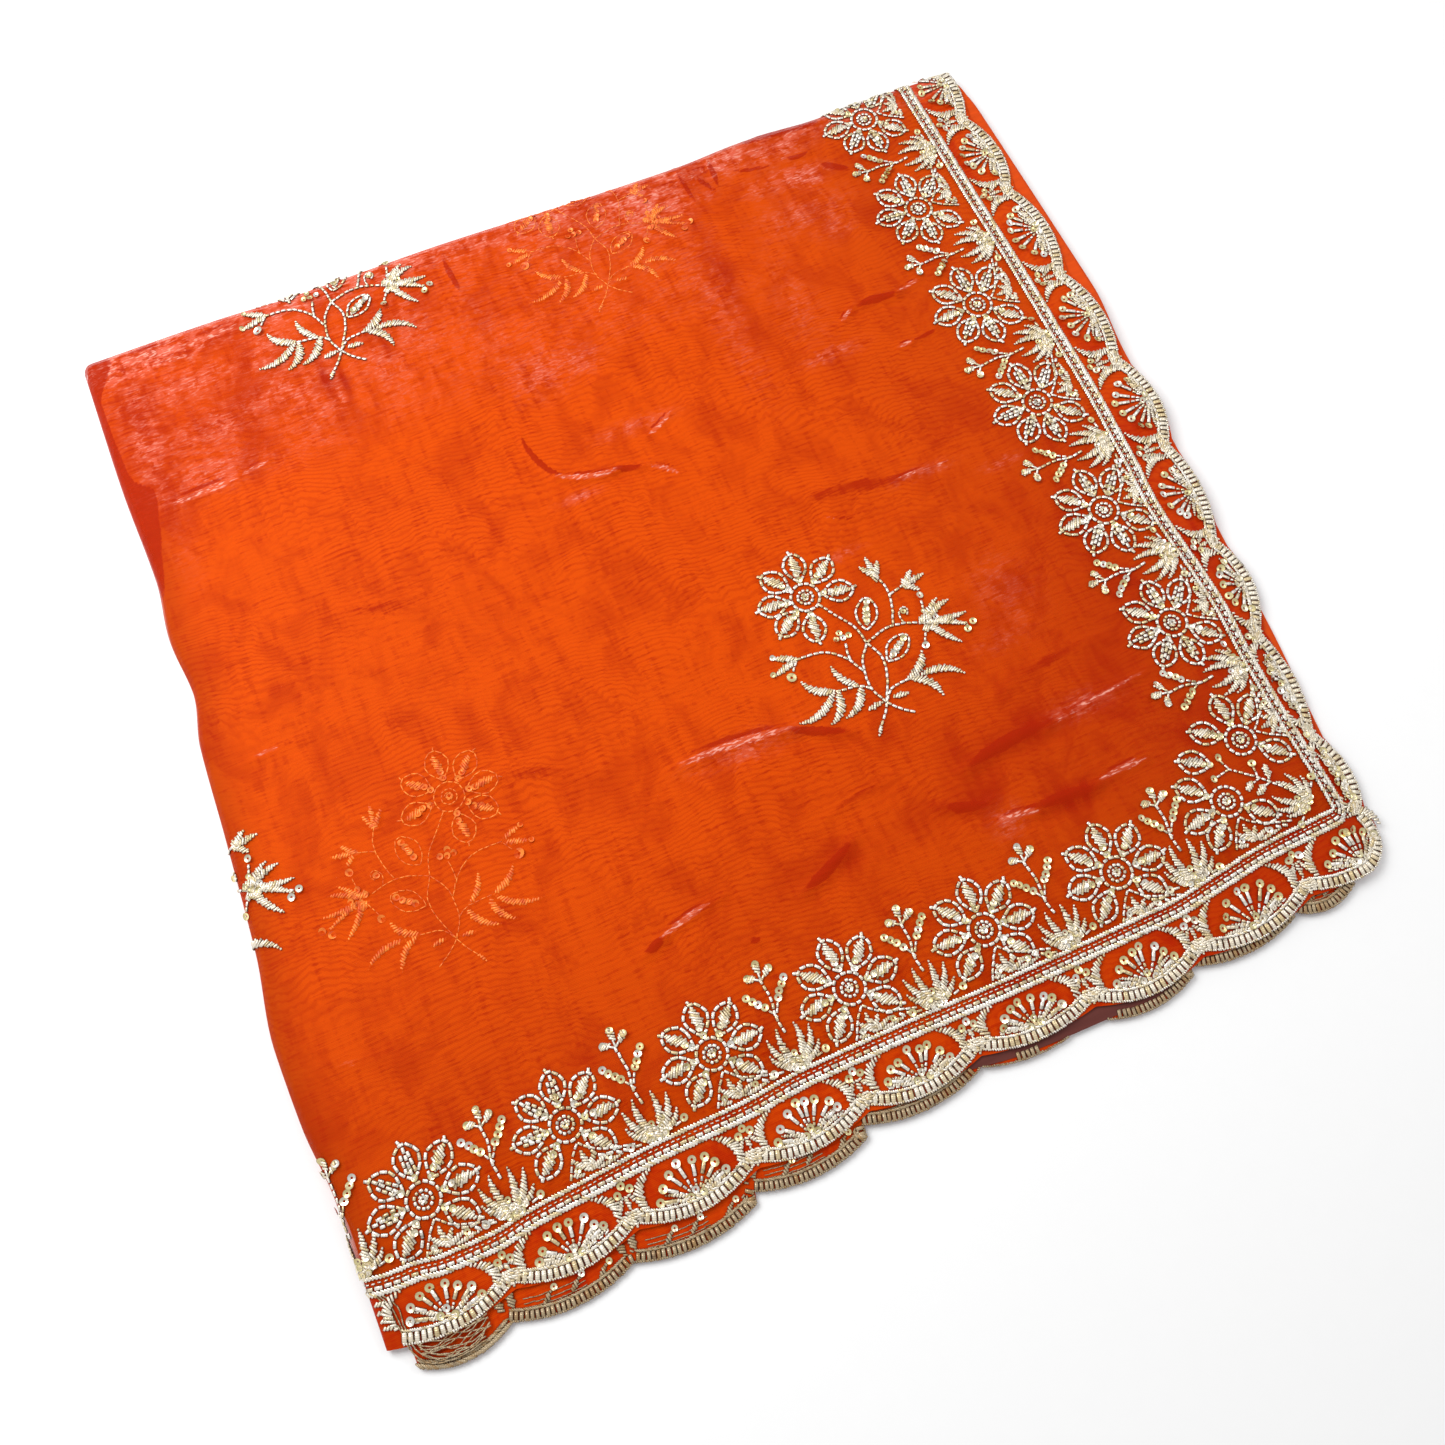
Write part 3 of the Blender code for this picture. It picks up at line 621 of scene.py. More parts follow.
def like_stitches(grids, uv, tone, poles=None):
    """Many stitches of one kind, from closed grids (n, rows, columns, 3) and poles (n, 2, 3)."""
    count, rows, columns, _ = grids.shape
    points = grids.reshape(count, -1, 3)
    uv = np.broadcast_to(uv, (count, rows, columns, 2)).reshape(count, -1, 2)
    triangles = np.zeros((0, 3), int)
    if poles is not None:
        points = np.concatenate([points, poles], axis=1)
        uv = np.concatenate([uv, np.broadcast_to([[0.5, 0.0], [0.5, 1.0]], (count, 2, 2))], axis=1)
        triangles = pole_triangles(rows, columns)
    each = points.shape[1]
    faces = (repeat_faces(kind, count, each) for kind in (grid_quads(rows, columns, True), triangles))
    return Stitches(points.reshape(-1, 3), *faces, uv.reshape(-1, 2), np.repeat(tone, each))


def raised(flat, up):
    """Flat points with their heights."""
    return together(flat[..., 0], flat[..., 1], up)


def straight_stitches(rows, rng):
    """Straight stitches and bugle beads from rows of start, end, width and height.

    Each is a hexagonal prism along its line, its section an ellipse, with a point at both ends.
    """
    start, end, width, height = rows[:, 0:2], rows[:, 2:4], rows[:, 4], rows[:, 5]
    run, middle = end - start, ((start + end) / 2)[:, None]
    length = np.maximum(np.linalg.norm(run, axis=1), SHORTEST)
    direction = (run / length[:, None])[:, None]
    turn = np.arange(PRISM_SIDES) / PRISM_SIDES * 2 * np.pi
    shoulder = np.maximum(length / 2 - POINT_SHARE * width, length / 4)
    centre = middle + (shoulder[:, None] * np.array([-1, 1]))[..., None] * direction
    across = (width / 2)[:, None] * np.cos(turn)
    flat = centre[:, :, None] - across[:, None, :, None] * right_of(direction)[:, None]
    up = LIFT + (height / 2)[:, None] * (1 + np.sin(turn))
    tips = middle + (length / 2)[:, None, None] * np.array([[-1], [1]]) * direction
    poles = raised(tips, (LIFT + height * 0.4)[:, None])
    uv = together(turn / (2 * np.pi), [[0.1], [0.9]])
    return like_stitches(raised(flat, up[:, None]), uv, rng.random(len(rows)), poles)


def satin_threads(leaves):
    """The single threads that fill satin leaves, as rows of straight stitches.

    The leaves are rows of root, tip, width, bow, rise and fullness. Threads cross a parabola from
    root to tip at a slant. Their half length is the leaf's half width there, which goes as the
    sine of the share to the power of its fullness, and is a little longer and shorter by turns.
    """
    run = leaves[:, 2:4] - leaves[:, 0:2]
    length = np.linalg.norm(run, axis=1)
    counts = np.maximum(SATIN_LEAST, np.round(length / SATIN_PITCH)).astype(int)
    leaf = np.repeat(np.arange(len(leaves)), counts)
    number = np.arange(len(leaf)) - np.repeat(np.cumsum(counts) - counts, counts)
    share = ((number + 0.5) / counts[leaf])[:, None]
    root, run, length = leaves[leaf, 0:2], run[leaf], length[leaf, None]
    width, bow, rise, fullness = (leaves[leaf, column, None] for column in range(4, 8))
    side = -right_of(run) / length
    spine = root + share * run + 4 * bow * share * (1 - share) * side
    along = unit(run + 4 * bow * (1 - 2 * share) * side)
    lean = unit(SATIN_SLANT * along - right_of(along))
    uneven = 1 + SATIN_UNEVEN * (-1.0) ** number[:, None]
    half = width / 2 * np.sin(np.pi * share**fullness) ** 0.75 * uneven + SATIN_SPREAD
    height = rise * (0.6 + 0.55 * np.sin(np.pi * share))
    sizes = np.concatenate([np.full_like(height, 0.98 * SATIN_PITCH), height], axis=1)
    return np.concatenate([spine - lean * half, spine + lean * half, sizes], axis=1)


def sequins(rows, rng):
    """Cup sequins from rows of centre and radius: rings from the rim to the hole, the rim highest.

    Each leans a little, so that they catch the light one by one.
    """
    centre, radius = rows[:, 0:2], rows[:, 2]
    turn = np.arange(SEQUIN_SIDES) / SEQUIN_SIDES * 2 * np.pi
    rings, cup = np.array(SEQUIN_CUP).T
    offset = radius[:, None, None, None] * rings[:, None, None] * unit_circle(turn)
    lean = rng.normal(0.0, SEQUIN_LEAN, (len(rows), 2))
    base = 0.45 + 0.25 * rng.random(len(rows))
    up = base[:, None, None] + cup[:, None] + np.einsum("nrcd,nd->nrc", offset, lean)
    uv = together(turn / (2 * np.pi), rings[:, None])
    return like_stitches(raised(centre[:, None, None] + offset, up), uv, rng.random(len(rows)))


def resample(path, step):
    """Points at equal steps along a path, and the step that divides it evenly."""
    path = np.asarray(path, float)
    lengths = np.concatenate([[0], np.cumsum(np.linalg.norm(np.diff(path, axis=0), axis=1))])
    count = max(1, round(lengths[-1] / step))
    at = np.linspace(0, lengths[-1], count + 1)
    points = np.stack([np.interp(at, lengths, path[:, k]) for k in range(path.shape[1])], axis=1)
    return points, lengths[-1] / count


def bend(points, steps=8):
    """A smooth path through a few points: a Catmull-Rom curve."""
    points = np.asarray(points, float)
    ends = [2 * points[0] - points[1], *points, 2 * points[-1] - points[-2]]
    t = np.linspace(0, 1, steps, endpoint=False)[:, None]
    pieces = []
    for before, start, end, after in zip(ends, ends[1:], ends[2:], ends[3:]):
        square = t * t * (before - 2.5 * start + 2 * end - after / 2)
        cube = t**3 * (1.5 * (start - end) + (after - before) / 2)
        pieces.append(start + t * (end - before) / 2 + square + cube)
    return np.concatenate([*pieces, points[-1:]])


def circle(radius, steps=36):
    """A closed circle."""
    return radius * unit_circle(np.linspace(0, 2 * np.pi, steps + 1))


def almond(length, width, steps=18, lean=1.12):
    """A closed outline from the origin along x: half width is a root of the sine of the share."""
    share = np.linspace(0, 1, steps + 1)
    up = together(share * length, width / 2 * np.sin(np.pi * share**lean) ** 0.78)
    return np.concatenate([up, up[-2::-1] * [1, -1]])


class Motif:
    """Stitches drawn flat, in millimetres: dashes of thread or beads, satin bars and leaves, sequins.

    Each kind is a list of arrays with a stitch in each row. A row starts with the places of the
    stitch: two ends, or a sequin's middle.
    """

    # The columns of a row, and how many of them hold places.
    KINDS = {"dashes": (6, 4), "bars": (6, 4), "leaves": (8, 4), "sequins": (3, 2)}

    def __init__(self):
        for kind, (columns, _) in self.KINDS.items():
            setattr(self, kind, [np.zeros((0, columns))])

    def dash(self, start, end, width=DASH_WIDTH, height=DASH_HEIGHT, satin=False):
        start, end = np.broadcast_arrays(np.atleast_2d(start), np.atleast_2d(end))
        sizes = np.broadcast_to([width, height], start.shape)
        rows = self.bars if satin else self.dashes
        rows.append(np.concatenate([start, end, sizes], axis=1).astype(float))

    def line(self, path, pitch=DASH_PITCH, width=DASH_WIDTH, height=DASH_HEIGHT, gap=DASH_GAP):
        """Straight stitches end to end along a path."""
        points, pitch = resample(path, pitch)
        trim = np.diff(points, axis=0) * (gap / 2 / pitch)
        self.dash(points[:-1] + trim, points[1:] - trim, width, height)

    def cord(self, points, normals, width, pitch, slant=CORD_SLANT, length=1.9, height=1.1):
        """A twisted cord: slanted plump stitches along a line, from its points and unit normals."""
        run = unit(np.diff(points, axis=0, append=2 * points[-1:] - points[-2:-1]))
        reach = unit(run + slant * normals) * width * length / 2
        self.dash(points - reach, points + reach, pitch * 0.95, height)

    def leaf(self, root, tip, width, bow=0.0, rise=LEAF_RISE, fullness=0.8):
        self.leaves.append(np.array([[*root, *tip, width, bow, rise, fullness]], float))

    def sequin(self, *places, radius=SEQUIN_RADIUS):
        self.sequins.append(np.array([[x, y, radius] for x, y in places], float))

    def add(self, other, x=0.0, y=0.0, turn=0.0, size=1.0, mirror=False):
        """Puts another motif in this one, scaled, mirrored, turned by degrees and moved."""
        angle, across = math.radians(turn), -1.0 if mirror else 1.0
        cos, sin = math.cos(angle), math.sin(angle)
        matrix = size * np.array([[cos * across, sin * across], [-sin, cos]])
        for kind, (_, places) in self.KINDS.items():
            rows = np.concatenate(getattr(other, kind))
            for at in range(0, places, 2):
                rows[:, at : at + 2] = rows[:, at : at + 2] @ matrix + [x, y]
            if kind == "leaves":
                rows[:, 4:6] *= [size, size * across]
            getattr(self, kind).append(rows)

    def warp(self, place):
        """Moves every stitch's places by a function of two arrays."""
        for kind, (_, places) in self.KINDS.items():
            for rows in getattr(self, kind):
                for at in range(0, places, 2):
                    rows[:, at], rows[:, at + 1] = place(rows[:, at], rows[:, at + 1])

    def cut(self, keeps):
        """Leaves out the stitches whose middle the function doesn't keep."""
        for kind, (_, places) in self.KINDS.items():
            for number, rows in enumerate(getattr(self, kind)):
                x, y = rows[:, :places].reshape(len(rows), places // 2, 2).mean(axis=1).T
                getattr(self, kind)[number] = rows[keeps(x, y)]


def petal(motif, turn, beads=2, filled=False):
    """One petal: a dashed almond with a tail stitch, filled with a satin leaf or with bugle beads."""
    part = Motif()
    part.line(almond(PETAL_LENGTH, PETAL_WIDTH) + [PETAL_START, 0])
    tip = PETAL_START + PETAL_LENGTH
    part.dash((tip - 0.8, 0.3), (tip + 1.6, 1.3))
    if filled:
        for start, end in (((13, -2.2), (23.6, -1.6)), ((12, 0.4), (26.2, -0.3)), ((13.6, 2.4), (23.2, 1.9))):
            part.line([start, end], 3.3, 2.1, 1.5, gap=0.2)
    else:
        part.leaf((13.4, 0.2), (26.2, -0.2), 6.4, rise=1.3, fullness=0.85)
    part.sequin((PETAL_START + 0.8, 0.2))
    part.sequin(*[(14.6 + 3.9 * number, 0.6 - number) for number in range(beads)], radius=1.8)
    motif.add(part, turn=turn)


def flower(petals, beads=2, filled=()):
    """A flower: two dashed rings, a small spiral and petals at the given turns, some bead-filled."""
    motif = Motif()
    motif.line(circle(8.4), 3.6, 2.1, gap=0.25)
    motif.line(circle(4.4, steps=24), 2.6, 2.0, gap=0.2)
    turn = np.linspace(0, 3.4 * np.pi, 22)
    spiral = (2.6 - 0.12 * turn)[:, None] * unit_circle(turn)
    motif.line(spiral, 2.0, 1.5, 1.3, gap=0.2)
    motif.sequin((0, 0), radius=1.7)
    for number, angle in enumerate(petals):
        petal(motif, angle, beads if number % 3 else max(0, beads - 1), angle in filled)
    return motif


def cord_leaves():
    """The filling between a border flower and the cords: a dashed triangle with small leaves."""
    motif = Motif()
    motif.line(bend([(1.5, -10), (-3.5, -16), (-8.5, -25)]), 3.4, 1.5, gap=0.3)
    motif.line(bend([(1.5, -10), (8, -16), (16, -19.5), (27, -23)]), 3.4, 1.5, gap=0.3)
    for tip, width in (((-4.0, -17), 3.2), ((1.6, -14), 3.6), ((7.4, -17.4), 3.4), ((13.4, -21), 2.8)):
        motif.leaf((2.4, -24.5), tip, width, rise=1.0)
    motif.dash([(-5, -21), (17, -21.8), (20.5, -22.8)], [(-3.6, -23.6), (19.6, -23.8), (23.4, -24.4)])
    motif.leaf((-1, -25.2), (-7.4, -23), 2.4)
    motif.leaf((6, -25.2), (20, -24.2), 2.2)
    motif.sequin((-3.4, -21.8), (13.2, -22.2), radius=1.7)
    return motif


def palmette(bent=1.0):
    """A palmette of satin fingers on the cords, with a cluster of sequins at its foot."""
    motif = Motif()
    fingers = ((146, 16, 3.2), (125, 20, 3.8), (103, 20.5, 4), (76, 20.5, 4), (54, 20, 3.8), (28, 15.5, 3.2))
    for angle, length, width in fingers:
        turn = math.radians(angle)
        tip = (length * math.cos(turn), 2.5 + length * math.sin(turn))
        bow = 1.8 * bent * math.copysign(1, angle - 95)
        motif.leaf((4.2 * math.cos(turn), 2.5), tip, width, bow=bow, rise=1.4, fullness=0.66)
    for x, y, tip_x, tip_y in ((-1, 0, -9, 4), (1, 0, 9, 4), (-2, 0, -4, 7.5), (2, 0, 4, 7.5), (0, -1, 0, 7)):
        motif.leaf((x, y), (tip_x, tip_y), 3.6, rise=1.1)
    for x, y in (
        (-6.4, 2.4), (-3.4, 0.8), (0.2, 0.6), (3.8, 1.0), (6.6, 3.0), (-3.6, 4.6), (0.0, 4.4), (3.6, 5.0),
        (-0.6, 8.0), (4.8, 8.2), (-5.0, 7.6),
    ):
        motif.sequin((x, y), radius=1.7)
    motif.line([(-9.0, 1.2), (-12.8, 1.8)], 3.4, 1.5)
    motif.line([(9.0, 1.8), (13.0, 2.6)], 3.4, 1.5)
    motif.sequin((-14.6, 2.2), (15.0, 3.4), radius=2.1)
    return motif


def bud_stem(height=46.0):
    """The stem above a palmette, with an arm of sequins on each side and three buds at the top."""
    motif = Motif()
    motif.line(bend([(0, 18), (-1.2, 27), (0.5, 36), (-0.5, height)]), 3.4, 1.8, gap=0.25)
    steps = np.arange(4)[:, None]
    for side, low in ((-1, 29.5), (1, 31.5)):
        motif.line([(0, low - 3), (3.2 * side, low + 2.2)], 3.2, 1.4)
        arm = np.array([4.2 * side, low + 4.0]) + steps * [2.3 * side, 2.7]
        motif.sequin(*arm, radius=2.1)
    for side, x, y in ((-1, -6.0, 2.4), (0, 0.6, 7.6), (1, 6.2, 3.4)):
        motif.line([(0, height - 1), (0.55 * x, height + 0.45 * y)], 3.0, 1.4)
        motif.leaf((0.45 * x, height + 0.4 * y), (1.2 * x, height + 1.2 * y), 4.2, rise=1.1)
        motif.sequin((x, height + y), radius=2.0)
    return motif


def ground_spray():
    """The spray scattered on the ground: a flower and a palmette on two winding stems."""
    motif = Motif()
    motif.add(flower((83, 36, -12, -100, -146, 173, 129)), -13.7, 75)
    joint = (5.8, 36)
    stems = (
        [(-9, 68), (-2, 57), (4, 47), joint],
        [joint, (-0.8, 28), (-3.2, 20), (-4, 10.5), (0, 0)],
        [joint, (9.7, 25), (7.2, 13.7), (0, 0)],
        [joint, (18, 39.5), (28, 38.8), (37, 35.4)],
        [(24, 40), (29, 52), (30.5, 62), (28, 71)],
        [(30, 57), (35, 58.4), (41, 59.4)],
        [(-3.4, 22), (-9, 33), (-19, 41), (-35, 43)],
        [(-7, 30), (-6.4, 36), (-5, 41)],
        [(-4.2, 10.6), (-9, 14.6), (-23, 17)],
        [(1, 1), (6.3, 6.3), (18, 7.6)],
        [(0, 0), (-4, -6), (-11, -13.6)],
        [(0, 0), (5, -6), (12, -11.5)],
    )
    for stem in stems:
        motif.line(bend(stem), 3.4, 1.7, gap=0.25)
    for centre, turn, width in (((13.5, 52.3), 64, 12.4), ((20, 26.6), 31, 11.2)):
        leaf = Motif()
        leaf.line(almond(20.5, width, lean=1.0) - [10.2, 0], 3.8, 1.6)
        leaf.leaf((-7.6, 0), (7.0, 0), 4.6)
        leaf.sequin(*[(-4.6 + 3.6 * number, 0) for number in range(4)], radius=1.9)
        motif.add(leaf, *centre, turn=turn)
    leaves = (
        ((-22.7, 17.6), (-37.5, 30.5), 7.4, 3.2), ((-23.5, 17.4), (-49.5, 8.0), 7.0, 4.0),
        ((-21.5, 16.6), (-33.5, 0.5), 7.8, 3.4), ((-8.5, 14.6), (-24.5, 0.5), 7.6, 3.2),
        ((-9.8, 15.4), (-18.5, 32.0), 6.4, 2.6), ((16.5, 8.0), (31.5, 19.8), 8.2, -3.2),
        ((24.5, 6.9), (47.3, -2.6), 6.6, 3.4), ((18.0, 7.6), (30.5, -9.2), 7.4, 3.2),
        ((-10.8, 0.4), (-1.4, 0.8), 4.8, 0.0), ((4.8, 1.7), (14.0, -0.2), 5.0, 0.0),
        ((-8.5, -11), (-12.5, -16), 3.0, 0.0),
    )
    for root, tip, width, bow in leaves:
        motif.leaf(root, tip, 0.68 * width, bow=bow, rise=1.2, fullness=0.75)
    fingers = (
        ((59.5, 41), 5.4, 1.6), ((65, 30.5), 5.0, -1.2), ((62.5, 22.5), 4.6, 1.0), ((54.7, 14.8), 5.2, -1.6),
        ((54, 45), 4.6, 1.0),
    )
    for tip, width, bow in fingers:
        motif.leaf((42, 34), tip, 0.85 * width, bow=bow, rise=1.3, fullness=0.66)
    motif.leaf((38, 36), (47, 37), 6.6, rise=1.2)
    motif.leaf((38.5, 31.5), (47, 29.5), 6.2, rise=1.2)
    motif.sequin((40, 36), (43, 33), (45, 37), (42, 30), (46, 31.5), (48, 35), (43.5, 40), radius=1.7)
    motif.line([(43, 39), (45, 47)], 3.2, 1.6)
    motif.line([(40, 31), (35.5, 23.5)], 3.2, 1.6)
    motif.line([(55, 27), (62.5, 24)], 3.2, 1.6)
    motif.sequin((45.6, 50), (34.6, 21.4), (65.2, 23.6), (60.5, 20.5), radius=2.1)
    buds = (((28, 70), ((22, 80), (28, 84), (33.5, 79))), ((41, 59.4), ((48, 66), (54, 61), (47, 53))))
    for root, tips in buds:
        for tip in tips:
            motif.leaf(root, tip, 3.8, rise=1.1, fullness=0.8)
        motif.leaf(np.array(root) - [1.5, 1.5], np.array(root) + [2, 3], 5.0, rise=1.1)
    motif.line(bend([(30, 38.5), (29.5, 44), (33, 47.5), (36, 45), (33.4, 42)]), 2.6, 1.3)
    motif.sequin((32.6, 44.6), (-5.2, 44), (-9.0, 44.4), (-1.6, 44.2), (-6, 47.5), radius=1.8)
    motif.leaf((-34, 43.4), (-47, 49.5), 4.0, rise=1.0)
    motif.leaf((-34, 42.6), (-50.5, 39), 4.0, rise=1.0)
    motif.sequin((-46, 49), (-50, 39.4), radius=1.6)
    motif.sequin((-41.5, 34), radius=2.9)
    motif.line([(-35, 42), (-39, 37)], 2.6, 1.5)
    return motif


def corner_stem():
    """The stem that grows out of the corner palmette: sequins and buds on twigs, a petal at its end."""
    motif = Motif()
    motif.line(bend([(-5, 8.5), (-13, 18), (-21, 25.6), (-31, 34.2)]), 3.0, 1.5, gap=0.35)
    for root, tip in (
        ((-30, 33.5), (-32.3, 40)), ((-30, 33.5), (-39, 32.2)), ((-18.3, 23.3), (-17.5, 30)),
        ((-13.6, 19.4), (-12.4, 25)), ((-14, 18.6), (-20.5, 16.6)), ((-18, 22.6), (-25, 21)),
    ):
        motif.line([root, tip], 2.8, 1.4, gap=0.35)
    motif.sequin((-32.4, 41.8), (-40.6, 31.8), (-17.4, 31.4), radius=2.1)
    for root, tip in (((-13, 21.5), (-10.6, 28)), ((-17, 17.6), (-23.6, 15.4)), ((-22.5, 21.4), (-28, 20.2))):
        motif.leaf(root, tip, 4.6, rise=1.1)
    part = Motif()
    petal(part, 149)
    motif.add(part, -29, 34.6)
    return motif


def loose_threads():
    """Thin loose threads that hang from the cords' left end over the first lower scallop."""
    motif = Motif()
    for number, shift in enumerate((0.0, 2.2, 4.6)):
        path = [
            (-292.4 + shift / 2, -258 - number), (-289.6 + shift, -268), (-287.4 + shift / 2, -279),
            (-285.5 + shift, -290), (-279 + shift, -297.5 + number), (-266 + shift, -300.4 + number),
            (-252, -298.5 + 1.5 * number),
        ]
        motif.line(bend(path), 3.0, 0.75, 0.8, gap=-0.3)
    share = np.linspace(0, 1, 24)
    for number in range(9):
        x = -282 + 34 * share
        y = -288 - 1.3 * number + 1.5 * np.sin((2 + number % 3) * np.pi * share + number)
        motif.line(together(x, y + 2.5 * (share - 0.5) ** 2 * number), 3.0, 0.7, 0.7, gap=-0.3)
    return motif


def scallop_fan(start, end, rng, reach):
    """The filling of one scallop, drawn in s along the edging and t out from the cords.

    Stalks of beads with sequins at their tips spread like a fan from its foot at the rim, their
    tips on half an ellipse. Bent satin crescents stand round it like a pair of brackets.
    """
    motif = Motif()
    chord = end - start
    foot, top = reach - 6.4, 7.4
    height, half = foot - top, 0.31 * chord
    at = start + 0.5 * chord
    for angle in np.linspace(160, 20, FAN_STALKS):
        turn = math.radians(angle + rng.uniform(-4, 4))
        size = rng.uniform(0.88, 1.0)
        reach_out = np.array([half * math.cos(turn), -height * math.sin(turn)]) * size
        place = np.array([at, foot])
        motif.line([place + 0.24 * reach_out, place + 0.52 * reach_out], 2.8, 1.6)
        motif.dash(place + 0.54 * reach_out, place + 0.88 * reach_out, 2.3, 1.5)
        motif.sequin(place + 0.97 * reach_out, radius=2.3)
    for side in (-1, 1):
        for x, y, tip_x, tip_y, width in ((2.5, -0.6, 15, -7.6, 1.9), (4, 0.0, 19, -4.6, 1.9)):
            motif.leaf((at + x * side, foot + y), (at + tip_x * side, foot + tip_y), width, 0.8 * side, 1.2)
    motif.sequin((at - 3.2, foot - 1.6), (at + 3.2, foot - 1.4), (at + 0.2, foot - 4.4), radius=2.0)
    motif.leaf((at, foot + 0.6), (at, foot - 3.4), 2.6, rise=1.1)
    share = np.linspace(0.2, 0.8, 15)
    t = reach - 7.4 - arc_sag(share, chord, NOTCH_DEPTH)
    motif.line(together(start + share * chord, t), 3.4, 1.1, gap=0.8)
    low = reach - 8.6
    motif.leaf((start + 8.6, low), (start + 16.5, 5.4), 5.2, 6.2, 1.6, 0.85)
    motif.leaf((end - 8.6, low), (end - 16.5, 5.4), 5.2, -6.2, 1.6, 0.85)
    return motif


def notch_sprig(at, reach):
    """What hangs from the cords at a notch: three sequins, small leaves and rays across the cloth."""
    motif = Motif()
    motif.sequin((at - 3.4, 9.6), (at + 3.2, 9.4), (at - 0.2, 7.0), radius=2.1)
    peak = reach - NOTCH_DEPTH - 6.0
    for x, root, tip, width in ((-6, 11.4, 1, 2.2), (0, 11.6, 0.5, 2.4), (6, 11.4, 1, 2.2)):
        motif.leaf((at + 0.25 * x, root), (at + x, peak - tip), width, rise=1.1)
    for x in (-5.4, -2.7, 0, 2.7, 5.4):
        motif.leaf((at + 0.4 * x, peak), (at + x, peak + 8.5 - 0.35 * abs(x)), 2.7, rise=1.2)
    return motif


def with_normals(x, y, step):
    """Evenly spaced points along a path, and their unit normals on its right."""
    points, _ = resample(together(x, y), step)
    return points, right_of(unit(np.gradient(points, axis=0)))


def along_edging(start, end, step, across):
    """Such points and normals along the edging, at distance across(s) from the cords' middle."""
    s = np.arange(start, end, 1.0)
    return with_normals(*edge_point(s, across(s)), step)


def cord_band(start, end):
    """The band at the head of the edging: two twisted cords, a line of bugles and a fine chain."""
    motif = Motif()

    def place(near, far):
        return lambda s: near + (far - near) * ease((s - CORNER_X) / CORNER_RUN)

    for across, width in ((place(-3.7, -3.0), 1.9), (place(3.7, 2.9), 2.4)):
        motif.cord(*along_edging(start, end, CORD_PITCH, across), width, CORD_PITCH)
    for across, pitch, width, gap in ((place(1.2, 0.5), 4.4, 2.2, 0.4), (place(-1.0, -1.0), 3.0, 0.8, 1.2)):
        motif.line(along_edging(start, end, pitch, across)[0], pitch, width, 0.5 + width * 0.4, gap=gap)
    return motif


def ladder_rim(points, normals, inner, block):
    """A ladder-stitched rim: satin blocks across it between a thin inner cord and a fine outer one."""
    motif = Motif()
    step = np.linalg.norm(np.diff(points, axis=0), axis=1).mean()
    every, _ = resample(np.concatenate([points, normals], axis=1), block)
    centre, side = every[:, 0:2], unit(every[:, 2:4])
    motif.dash(centre - side * inner, centre - side * 0.1, block * BLOCK_SHARE, 1.1, satin=True)
    motif.cord(points - normals * (inner + 0.5), normals, 1.3, step)
    motif.cord(points - normals * 0.2, normals, 1.1, step, slant=1.6, length=1.3, height=1.0)
    return motif


def lower_rim_line(start, end):
    """Such points and normals along the lower edging's rim."""
    x = np.arange(start, end, 0.5)
    return with_normals(x, lower_rim(x), LOWER_CORD_PITCH)


def lower_filling(rng):
    """What shows inside the lower scallops: a satin pair at each notch and thin arcs of thread."""
    motif = Motif()
    for scallop in LOWER_SCALLOPS[1:]:
        chord = scallop.end - scallop.start
        rim = scallop.rim
        for side in (-1, 1):
            at = scallop.start + 2.6 * side
            motif.leaf((at, rim + 12.2), (at + 1.8 * side, rim + 22.5), 4.6, rise=1.3, fullness=0.7)
        for lift in (6.5, 8.4, 10.6):
            share = np.linspace(0.14, 0.62, 7)
            y = rim + lift + arc_sag(share, chord, LOWER_NOTCH_DEPTH * 0.8)
            motif.line(together(scallop.start + share * chord, y), 2.6, 0.5, 0.5, gap=-0.3)
        for share in (0.3, 0.5, 0.72):
            x = scallop.start + chord * (share + rng.uniform(-0.04, 0.04))
            motif.leaf((x, rim + 7.0), (x + 5.5, rim + 11.5), 2.4, rise=0.9)
            motif.sequin((x + 7.0, rim + 12.5), radius=1.7)
    return motif


def shaded_edge(x):
    """y of the near edge of the fold that lies in shade between the two edgings."""
    return curve(SHADED_EDGE, x)


def ground_pattern(columns, rows):
    """Pattern points of the ground, from the cords of the two edgings round the two folds."""
    roll = np.linspace(1, 0, ROLL_STEPS + 1)[:-1]
    share_p = np.concatenate([-roll, np.linspace(0, 1, columns)])
    share_q = np.concatenate([np.linspace(0, 1, rows), roll[::-1] + 1])[:, None]
    share_p, share_q = np.broadcast_arrays(share_p, share_q)
    q = (share_q - 0.5) * FIRST_GUESS
    for _ in range(PASSES):
        left, _, left_length = left_roll(q)
        end = curve(CORDS_END, q) + CLOTH_JOINT
        p = left + np.where(share_p < 0, share_p * left_length, share_p * (end - left))
        far, far_length = far_roll(p)
        near = curve(CORDS_NEAR, p) - CLOTH_JOINT
        q = np.where(share_q > 1, far + (share_q - 1) * far_length, near + share_q * (far - near))
    return p, q


